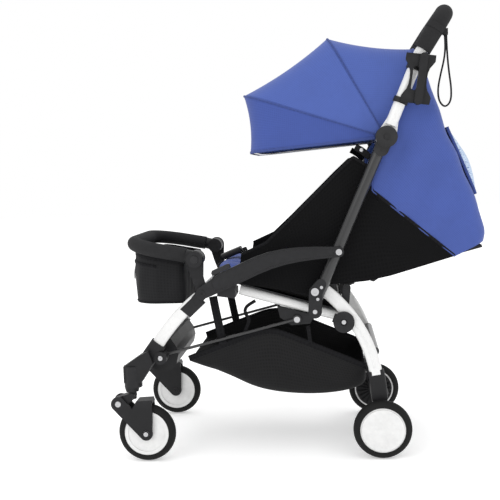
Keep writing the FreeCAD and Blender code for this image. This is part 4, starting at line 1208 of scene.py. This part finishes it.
@dataclass
class Cushion:
    """A padded cushion: a rounded block, puffed by a short cloth simulation with inner pressure.

    The frame of the cushion is its own: length runs along its slope, width across, and up is square
    to both. Quilting lines are pulled in after the simulation.
    """

    name: str
    node: str
    body: str
    foot: tuple[float, float]
    slope: float
    length: float
    width: float
    thick: float
    channels: tuple[float, ...] = (0.34, 0.67)
    nose: float = 0.0
    front_wrap: float = 0.0
    frames: int = 20
    most_motion: float = 0.005

    def block(self) -> np.ndarray:
        """A closed superellipsoid block: |x/a|^6 + |y/b|^6 + |z/c|^4 = 1, on a grid of two angles,
        with the front end turned down by a parabola of the nose.

        Returns:
            A grid of places in the cushion's own frame.
        """
        u = np.linspace(0, 2 * math.pi, 96, endpoint=False)[None, :]
        v = np.linspace(-math.pi / 2, math.pi / 2, 40)[:, None]

        def power(value: np.ndarray, exponent: float) -> np.ndarray:
            """A signed power."""
            return np.sign(value) * np.abs(value) ** exponent

        x = power(np.cos(v), 0.35) * power(np.cos(u), 0.30) * self.length / 2
        y = power(np.cos(v), 0.35) * power(np.sin(u), 0.30) * self.width / 2
        z = power(np.sin(v), 0.5) * self.thick / 2 + 0 * u
        front = np.clip(-x / (self.length / 2) - 0.6, 0, 1) / 0.4
        z = z - self.nose * front ** 2
        return np.stack([x + self.length / 2, y, z + self.thick / 2], axis=-1)

    def placed(self, local: np.ndarray) -> np.ndarray:
        """Turns the cushion's own places by its slope about Y and moves them to its foot.

        Args:
            local: places in the cushion's own frame.

        Returns:
            The same places in millimetres in the frame of the wheelbase.
        """
        a = math.radians(self.slope)
        x, y, z = local[..., 0], local[..., 1], local[..., 2]
        return np.stack([self.foot[0] + x * math.cos(a) - z * math.sin(a), y,
                         self.foot[1] + x * math.sin(a) + z * math.cos(a)], axis=-1)

    def local(self, points: np.ndarray) -> np.ndarray:
        """The cushion's own places of points in the shared frame.

        Args:
            points: places in the shared frame, in metres.

        Returns:
            Places in the cushion's own frame.
        """
        a = math.radians(self.slope)
        p = points / MM - SHIFT
        dx, dz = p[:, 0] - self.foot[0], p[:, 2] - self.foot[1]
        return np.stack([dx * math.cos(a) + dz * math.sin(a), p[:, 1],
                         -dx * math.sin(a) + dz * math.cos(a)], axis=-1)

    def puff(self, obj: bpy.types.Object) -> None:
        """Remeshes the block evenly and blows it up a little as cloth, then applies the result, with
        each point's motion capped at 5 mm.

        Args:
            obj: the object.
        """
        before = bpy.context.view_layer.objects.active
        bpy.context.view_layer.objects.active = obj
        remesh = obj.modifiers.new("even", "REMESH")
        remesh.mode = "VOXEL"
        remesh.voxel_size = 0.006
        with bpy.context.temp_override(object=obj, active_object=obj):
            bpy.ops.object.modifier_apply(modifier="even")
        count = len(obj.data.vertices)
        start = np.empty(count * 3)
        obj.data.vertices.foreach_get("co", start)
        cloth = obj.modifiers.new("puff", "CLOTH")
        s = cloth.settings
        s.quality = 6
        s.mass = 0.2
        s.use_pressure = True
        s.uniform_pressure_force = 4.0
        s.tension_stiffness = s.compression_stiffness = 25.0
        s.bending_stiffness = 2.0
        s.effector_weights.gravity = 0.0
        cloth.point_cache.frame_start, cloth.point_cache.frame_end = 1, self.frames
        for step in range(1, self.frames + 1):
            bpy.context.scene.frame_set(step)
        shaped = obj.evaluated_get(bpy.context.evaluated_depsgraph_get()).to_mesh()
        end = np.empty(count * 3)
        shaped.vertices.foreach_get("co", end)
        obj.evaluated_get(bpy.context.evaluated_depsgraph_get()).to_mesh_clear()
        obj.modifiers.remove(cloth)
        bpy.context.scene.frame_set(1)
        start = start.reshape(-1, 3)
        move = end.reshape(-1, 3) - start
        size = np.linalg.norm(move, axis=1, keepdims=True)
        start = start + move * np.minimum(1.0, self.most_motion / np.maximum(size, 1e-9))
        start = self.quilt(start.reshape(-1, 3))
        obj.data.vertices.foreach_set("co", start.ravel())
        obj.data.update()
        bpy.context.view_layer.objects.active = before

    def quilt(self, points: np.ndarray) -> np.ndarray:
        """Pulls the top in along the sewn channels, by a bell curve 5 mm wide, keeps every point within
        the cushion's width and, where the cushion has no nose, above its flat base.

        Args:
            points: places in the shared frame, in metres.

        Returns:
            The moved places, in metres.
        """
        local = self.local(points)
        top = np.clip(local[:, 2] / self.thick, 0, 1)
        for place in self.channels:
            local[:, 2] -= 5.0 * top * np.exp(-((local[:, 0] - place * self.length) / 5.0) ** 2)
        for y in (-0.27 * self.width, 0.27 * self.width):
            local[:, 2] -= 4.0 * top * np.exp(-((local[:, 1] - y) / 4.5) ** 2)
        if not self.nose:
            local[:, 2] = np.maximum(local[:, 2], 0.2)
        local[:, 1] = np.clip(local[:, 1], -self.width / 2 - 1.5, self.width / 2 + 1.5)
        return row_frame(self.placed(local))

    def build(self, finish: Finishes) -> None:
        """Block, simulation, seams and material.

        Args:
            finish: the stroller's finishes.
        """
        grid = self.placed(self.block())
        obj = grid_object(self.name, grid, wrap_v=True)
        face_outwards(obj, grid.reshape(-1, 3).mean(axis=0))
        self.puff(obj)
        obj.data.polygons.foreach_set("use_smooth", np.ones(len(obj.data.polygons), dtype=bool))
        smooth = obj.modifiers.new("smooth", "SUBSURF")
        smooth.levels = smooth.render_levels = 1
        box_uv(obj)
        dress(obj, finish.seat, finish.drape)
        if self.front_wrap:
            middle = np.empty(len(obj.data.polygons) * 3)
            obj.data.polygons.foreach_get("center", middle)
            blue = self.local(middle.reshape(-1, 3))[:, 0] < self.front_wrap
            obj.data.polygons.foreach_set("material_index", blue.astype(np.int32))
        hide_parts(self.node)
        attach(obj, self.body)
        t = np.linspace(0, 2 * math.pi, 161)
        x = self.length / 2 + np.sign(np.cos(t)) * np.abs(np.cos(t)) ** 0.3 * (self.length / 2 + 0.4)
        y = np.sign(np.sin(t)) * np.abs(np.sin(t)) ** 0.3 * (self.width / 2 + 0.4)
        front = np.clip(-(x - self.length / 2) / (self.length / 2) - 0.6, 0, 1) / 0.4
        rim = self.placed(np.stack([x, y, self.thick * 0.62 - self.nose * front ** 2], axis=-1))
        piping = swept(self.name + "_piping", rim, 3.4, 3.4, (0, 0.2, 1), 10)
        trim(piping, finish.webbing, self.body)
        log.info("%s: %.0f by %.0f mm", self.name, self.length, self.width)


def box_uv(obj: bpy.types.Object) -> None:
    """Gives a mesh a UV map in metres: each face takes the two axes that its normal points least along.

    Args:
        obj: the object.
    """
    mesh = obj.data
    layer = mesh.uv_layers.get("weave") or mesh.uv_layers.new(name="weave")
    loops, faces = len(mesh.loops), len(mesh.polygons)
    co, vertex = np.empty(len(mesh.vertices) * 3), np.empty(loops, dtype=int)
    normal, total = np.empty(faces * 3), np.empty(faces, dtype=int)
    mesh.vertices.foreach_get("co", co)
    mesh.loops.foreach_get("vertex_index", vertex)
    mesh.polygons.foreach_get("normal", normal)
    mesh.polygons.foreach_get("loop_total", total)
    axis = np.repeat(np.abs(normal.reshape(-1, 3)).argmax(axis=1), total)
    place = co.reshape(-1, 3)[vertex]
    u = np.where(axis == 0, place[:, 1], place[:, 0])
    v = np.where(axis == 2, place[:, 1], place[:, 2])
    layer.data.foreach_set("uv", np.stack([u, v], axis=-1).ravel())


@dataclass
class Harness:
    """Webbing over the cushions: a crotch strap with its buckle, and two shoulder straps with pads."""

    width: float = 26.0

    def strap(self, name: str, path: np.ndarray, body: str, finish: Finishes,
              width: float | None = None) -> bpy.types.Object:
        """A flat strap along a path, riding on a body.

        Args:
            name: the piece's name.
            path: the strap's middle line, in millimetres.
            body: the body that it rides on.
            finish: the stroller's finishes.
            width: full width in millimetres, the harness's own by default.

        Returns:
            The strap.
        """
        piece = swept(name, path, width or self.width, 2.2, (0, 1, 0), 14, 4.0)
        trim(piece, finish.webbing, body)
        return piece

    def build(self, finish: Finishes) -> None:
        """Straps, pads and buckle.

        Args:
            finish: the stroller's finishes.
        """
        seat = [(64, 378), (58, 415), (40, 424), (10, 436), (-20, 446), (-42, 458), (-56, 472)]
        crotch = self.strap("crotch_strap_webbing", eased(xz(seat, 0.0), 40), "seat_frame", finish, 28.0)
        buckle = swept("harness_buckle_shell", eased(xz([(-106, 456), (-82, 466), (-58, 475)], 0.0), 20),
                       46.0, 16.0, (0, 1, 0), 24, 4.5)
        trim(buckle, finish.black, "seat_frame")
        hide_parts("seat_harness")
        first = None
        for side in SIDES:
            y = side * 62.0
            line = []
            for s, up in ((40, 36), (90, 40.5), (160, 42), (230, 40.5), (252, 36)):
                a = math.radians(14.5)
                line.append((200 + s * math.cos(a) - up * math.sin(a),
                             392 + s * math.sin(a) + up * math.cos(a)))
            label = "left" if side < 0 else "right"
            strap = self.strap("shoulder_strap_" + label, eased(xz(line, y), 40), "backrest", finish)
            pad = swept("shoulder_pad_" + label, eased(xz(line[1:4], y), 30), 40.0, 9.0, (0, 1, 0), 20, 3.0)
            trim(pad, finish.seat, "backrest")
            first = first or strap
        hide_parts("shoulder_straps")
        log.info("harness: straps, pads and buckle")


# ---------------------------------------------------------------- basket and pouch

@dataclass
class Basket:
    """A sling of black cloth: from a tip at the front, under a deep belly, up a rear wall."""

    half_width: float = 150.0
    corner: float = 46.0
    rim: tuple[tuple[float, float], ...] = (
        (-177, 230), (-80, 266), (14, 299), (70, 278), (112, 260), (180, 231), (238, 206))
    floor: tuple[tuple[float, float], ...] = ((-176, 223), (-135, 200), (-90, 181), (-27, 149), (40, 134),
                                              (124, 129), (202, 138), (246, 158), (238, 205))

    def grid(self) -> np.ndarray:
        """Each row drops from the left rim, turns a rounded corner, crosses the floor and climbs to
        the right rim. The floor sinks by a product of sines; the walls bow out by another.

        Returns:
            A grid of places.
        """
        rows, cols = 80, 84
        rim, floor = eased(self.rim, rows, 2), eased(self.floor, rows, 2)
        t = np.linspace(0, 1, rows)
        turn = np.linspace(0, math.pi / 2, 9)
        out = []
        for (rx, rz), (fx, fz) in zip(rim, floor):
            drop = max(math.hypot(rx - fx, rz - fz), 0.8)
            c = min(self.corner, drop * 0.8)
            left = np.stack([-(self.half_width - c) - c * np.cos(turn),
                             drop - c + c * np.sin(turn)], axis=-1)
            flat = np.concatenate([[[-self.half_width, 0.0]], left, left[::-1] * (-1, 1),
                                   [[self.half_width, 0.0]]])
            flat = along(flat, np.linspace(0, 1, cols))
            k = flat[:, 1] / drop
            out.append(np.stack([rx + (fx - rx) * k, flat[:, 0], rz + (fz - rz) * k], axis=-1))
        grid = np.array(out)
        u, v = np.linspace(0, 1, cols)[None, :], t[:, None]
        across = np.sin(math.pi * u) * np.sin(math.pi * v)
        folds = 1.3 * np.sin(40 * u + 6 * v) * np.clip(1 - np.abs(u - 0.5) * 2, 0, 1)
        n = normals(grid)
        n *= np.sign(((grid - (60.0, 0.0, 260.0)) * n).sum(axis=2, keepdims=True))
        return grid + n * (across * (-1.5 + folds))[..., None]

    def build(self, finish: Finishes) -> None:
        """Sling, bound rim and straps.

        Args:
            finish: the stroller's finishes.
        """
        grid = self.grid()
        sling = grid_object("basket_sling", grid)
        face_outwards(sling, np.array([60.0, 0.0, 260.0]))
        solidify(sling, 1.8)
        dress(sling, finish.basket)
        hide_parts("basket")
        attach(sling, "seat_frame")
        parts = [swept("rim_part", grid[:, column], 3.0, 14.0, (0, 1, 0), 12, 3.5) for column in (0, -1)]
        parts.append(swept("rim_part", grid[-1], 3.0, 14.0, (1, 0, 0), 12, 3.5))
        binding = tidy_join("basket_binding", parts)
        dress(binding, finish.webbing)
        straps = []
        for side in SIDES:
            y = side * (self.half_width + 1.6)
            runs = [([(-114, 378), (-106, 330), (-94, 264)], 20.0),
                    ([(107, 304), (110, 285), (112, 260)], 9.0)]
            if side < 0:
                runs.append(([(-14, 366), (-38, 352), (-40, 336), (-28, 322), (-40, 296), (-42, 286)], 8.0))
            straps += [swept("strap_part", eased(xz(line, y), 20), 2.2, width, (0, 1, 0), 10, 4.0)
                       for line, width in runs]
        webbing = tidy_join("basket_webbing", straps)
        dress(webbing, finish.webbing)
        for piece in (binding, webbing):
            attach(piece, "seat_frame")
        log.info("basket: %.2f square metres", grid_area(grid))


@dataclass
class Pouch:
    """A soft bag that hangs inside the front bar, open at the top, with a zip across its front."""

    half_width: float = 151.0
    front: float = -308.0
    rear: float = -181.0
    top: float = 472.0
    foot: float = 360.0
    corner: float = 62.0

    def ring(self, z: float, grow: float) -> np.ndarray:
        """A closed line round the bag at a height: square at the back, rounded at the front.

        Args:
            z: height of the ring.
            grow: how far outside the bag it lies.

        Returns:
            (120, 3) places.
        """
        f, r, w, c = self.front - grow, self.rear + grow * 0.4, self.half_width + grow * 0.2, self.corner
        turn = np.linspace(0, math.pi / 2, 12)
        left = np.stack([f + c - c * np.sin(turn), -(w - c) - c * np.cos(turn)], axis=-1)
        right = left[::-1] * (1, -1)
        b = 14.0
        back = np.stack([r - b + b * np.sin(turn), (w - b) + b * np.cos(turn)], axis=-1)
        flat = np.concatenate([left, right, back, back[::-1] * (1, -1), left[:1]])
        flat = along(flat, np.linspace(0, 1, 121))[:-1]
        return np.stack([flat[:, 0], flat[:, 1], np.full(len(flat), z)], axis=-1)

    def grid(self) -> np.ndarray:
        """Rings from the hem up the bag, wider at mid height by a sine, then the bottom closes inwards;
        vertical folds are sines round the ring that fade at the top and the bottom.

        Returns:
            A grid of places.
        """
        heights = np.linspace(0, 1, 30)
        rings = [self.ring(self.foot + 3 + (self.top - self.foot - 3) * h,
                           5.0 * math.sin(math.pi * (0.15 + 0.7 * h)) - 4)
                 for h in heights[::-1]]
        grid = np.array(rings)
        u = np.linspace(0, 2 * math.pi, grid.shape[1], endpoint=False)[None, :]
        v = heights[::-1][:, None]
        fold = 1.5 * np.sin(17 * u + 3 * v) * np.sin(math.pi * v)
        centre = grid.mean(axis=1, keepdims=True)
        out = grid - centre
        out /= np.linalg.norm(out, axis=2, keepdims=True)
        grid = grid + out * fold[..., None]
        tilt = (grid[..., 0] + 255.0) * -0.19
        grid[..., 2] += tilt * v
        closing = []
        last = grid[-1]
        middle = last.mean(axis=0)
        for k in (0.97, 0.9, 0.75, 0.5, 0.25, 0.0):
            ring = middle + (last - middle) * k
            ring[:, 2] = last[:, 2].mean() - 3.0 * (1 - k) ** 0.5
            closing.append(ring)
        return np.concatenate([grid, np.array(closing)])

    def build(self, finish: Finishes) -> None:
        """Bag, top binding, zip and pull.

        Args:
            finish: the stroller's finishes.
        """
        grid = self.grid()
        bag = grid_object("foot_pouch_bag", grid, wrap_v=True)
        face_outwards(bag, np.array([-248.0, 0.0, 415.0]))
        solidify(bag, 1.8)
        dress(bag, finish.pouch)
        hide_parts("foot_pouch")
        loop = np.concatenate([grid[0], grid[0, :1]])
        band = swept("pouch_binding", loop, 3.0, 12.0, (0.3, 0.3, 0), 10, 3.5)
        hem = swept("pouch_hem", np.concatenate([grid[28], grid[28, :1]]), 3.4, 3.4, (0, 0, 1), 8)
        zipline = grid[5, :60] + (-1.0, 0, 0)
        zipper = swept("pouch_zip", zipline, 2.2, 7.0, (0.5, 0.5, 0), 10, 4.0)
        pull = swept("pouch_zip_pull", eased([(-316, -60, 446), (-319, -62, 432), (-319, -63, 414)], 16),
                     7.0, 2.4, (0, 1, 0), 10, 4.0)
        for piece, look in ((band, finish.webbing), (hem, finish.webbing), (zipper, finish.webbing),
                            (pull, finish.grey)):
            dress(piece, look)
            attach(piece, "front_bar")
        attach(bag, "front_bar")
        log.info("foot pouch: bag, binding, zip")


# ---------------------------------------------------------------- hardware

class Coat(Enum):
    """Which finish each CAD node wears: the finish's name, then the nodes."""

    WHITE_PAINT = ("white_paint", ("push_handle", "front_legs", "rear_legs", "seat_frame_tubes"))
    BLACK_PAINT = ("black_paint", ("link_rods", "upright_tubes", "rear_cross_tube", "front_bar"))
    STEEL = ("steel", ("seat_pins", "upright_bolts", "canopy_bow_rear", "canopy_bow_mid", "canopy_bow_front",
                       "canopy_bow_brim"))
    BLACK = ("black", ("seat_castings", "seat_board", "upright_brackets", "accessory_clip", "backrest_board",
                       "armrests", "front_brackets", "bar_ends", "leg_castings", "rear_sleeves", "axle_beam",
                       "caster_stem_left", "caster_stem_right", "caster_fork_left", "caster_fork_right"))
    CHARCOAL = ("charcoal", ("hinge_bases", "hinge_button_left", "hinge_button_right", "latch_slider_left",
                             "latch_slider_right", "bar_button_left", "bar_button_right", "recline_buckle",
                             "brake_pedal"))
    FOAM = ("foam", ("foam_grip", "bar_foam"))
    TYRE = ("tyre", ("front_tyre_left", "front_tyre_right", "rear_tyre_left", "rear_tyre_right"))
    WHITE = ("white", ("front_rim_left", "front_rim_right", "rear_rim_left", "rear_rim_right"))


@dataclass
class Hardware:
    """Materials on the CAD's own shapes, and small trims that sit on them."""

    brake_ribs: int = 20

    def paint(self, finish: Finishes) -> None:
        """Gives every carried-over node its finish.

        Args:
            finish: the stroller's finishes.
        """
        for coat in Coat:
            look, nodes = coat.value
            for node in nodes:
                dress(cad(node), getattr(finish, look))

    def rear_leg_lines(self, finish: Finishes) -> None:
        """A shallow raised bead along the middle of each rear leg.

        Args:
            finish: the stroller's finishes.
        """
        parts = []
        for side in SIDES:
            path = eased(xz([(192, 340), (222, 305), (244, 262), (259, 208)], side * 175.6), 40, 4)
            parts.append(swept("bead_part", path, 1.0, 4.0, (0, 1, 0), 8, 3.0))
        bead = tidy_join("rear_leg_bead", parts)
        trim(bead, finish.white_paint, "rear_legs")

    def brake_discs(self, finish: Finishes) -> None:
        """A black ribbed disc on the inner face of each rear wheel: rings of points about the axle, whose
        depth steps up and down round the disc, by a sine squared off, between the hub and the rim.

        Args:
            finish: the stroller's finishes.
        """
        radius = np.array([12.0, 12.6, 15.0, 19.0, 30.0, 41.0, 44.0, 47.6, 48.4])[:, None]
        depth = np.array([2.6, 0.6, 0.0, 0.0, 0.0, 0.0, 0.0, 0.3, 1.2])[:, None]
        ribbed = np.array([0.0, 0.0, 0.0, 1.0, 1.0, 1.0, 0.0, 0.0, 0.0])[:, None]
        turn = np.linspace(0, 2 * math.pi, 241)[None, :-1]
        step = 1.5 + 1.5 * np.tanh(4.0 * np.sin(self.brake_ribs * turn))
        for side, label in zip(SIDES, ("left", "right")):
            face = 178.3 + depth + ribbed * step
            grid = np.stack([REAR_AXLE_X + radius * np.cos(turn), side * face,
                             AXLE_HEIGHT + radius * np.sin(turn)], axis=-1)
            disc = grid_object("brake_disc_" + label, grid, wrap_v=True)
            face_outwards(disc, np.array([REAR_AXLE_X, side * 190.0, AXLE_HEIGHT]))
            solidify(disc, 0.8)
            trim(disc, finish.black, "rear_wheel_" + label)

    def bolt_caps(self, finish: Finishes) -> None:
        """Domed steel caps on the caster axles and pivots, and on the rod pins of the front legs.

        Args:
            finish: the stroller's finishes.
        """
        dome = ((0.0, 2.4), (0.30, 2.4), (0.36, 3.2), (0.62, 3.1), (0.86, 2.4), (1.0, 1.2), (1.0, 0.0))
        for side, label in zip(SIDES, ("left", "right")):
            fork = "fork_" + label
            for name, x, z, face, radius, body in (("axle_cap", -REAR_AXLE_X, AXLE_HEIGHT, 219.4, 7.9, fork),
                                                   ("knuckle_cap", -337.0, 139.0, 219.4, 7.4, fork),
                                                   ("rod_cap", -237.0, 242.0, 199.8, 6.4, "front_legs")):
                profile = tuple((radius * r, h) for r, h in dome)
                cap = lathe(name + "_" + label, (x, side * face, z), profile, side)
                trim(cap, finish.steel, body)

    def armrest_borders(self, finish: Finishes) -> None:
        """A raised border round the outer face of each armrest: two lines, above and below its middle
        line by its half depth less 4 mm, joined at the ends.

        Args:
            finish: the stroller's finishes.
        """
        middle = np.array([(-104, 410.5), (-76, 424), (-44, 437.8), (-6, 454.6), (27, 466.5), (61, 474.3),
                           (94, 478.7), (128, 481), (160, 481.8), (170, 482)], dtype=float)
        depth = np.array([17.0, 20.0, 20.0, 19.8, 19.2, 17.8, 16.2, 14.4, 12.7, 12.0])[:, None] - 4.0
        run = np.gradient(middle, axis=0)
        out = np.stack([-run[:, 1], run[:, 0]], axis=-1) / np.linalg.norm(run, axis=1, keepdims=True)
        loop = np.concatenate([middle + out * depth, (middle - out * depth)[::-1]])
        loop = np.concatenate([loop, loop[:1]])
        for side, label in zip(SIDES, ("left", "right")):
            line = along(xz([tuple(p) for p in loop], side * 219.6), np.linspace(0, 1, 260))
            border = swept("armrest_border_" + label, line, 1.8, 1.4, (0, 1, 0), 8, 2.5)
            trim(border, finish.charcoal, "armrests")

    def build(self, finish: Finishes) -> None:
        """Finishes and trims.

        Args:
            finish: the stroller's finishes.
        """
        self.paint(finish)
        self.rear_leg_lines(finish)
        self.brake_discs(finish)
        self.bolt_caps(finish)
        self.armrest_borders(finish)
        log.info("hardware: every carried-over node has its finish")


def main() -> None:
    """Builds the stroller's visual model in order."""
    logging.basicConfig(level=logging.INFO, format="%(message)s")
    finish = Finishes()
    Studio().build()
    WristStrap().build(finish)
    Canopy().build(finish)
    RearDrape().build(finish)
    SideCloth().build(finish)
    Cushion("seat_cushion_cover", "seat_cushion", "seat_frame", (-112.0, 428.9), -16.28, 303.0, 314.0, 34.0,
            nose=3.0, front_wrap=78.0).build(finish)
    Cushion("back_cushion_cover", "back_cushion", "backrest", (199.5, 406.0), 14.5, 306.0, 294.0, 27.0,
            (0.3, 0.62)).build(finish)
    Harness().build(finish)
    Basket().build(finish)
    Pouch().build(finish)
    Hardware().build(finish)


if __name__ == "__main__":
    main()
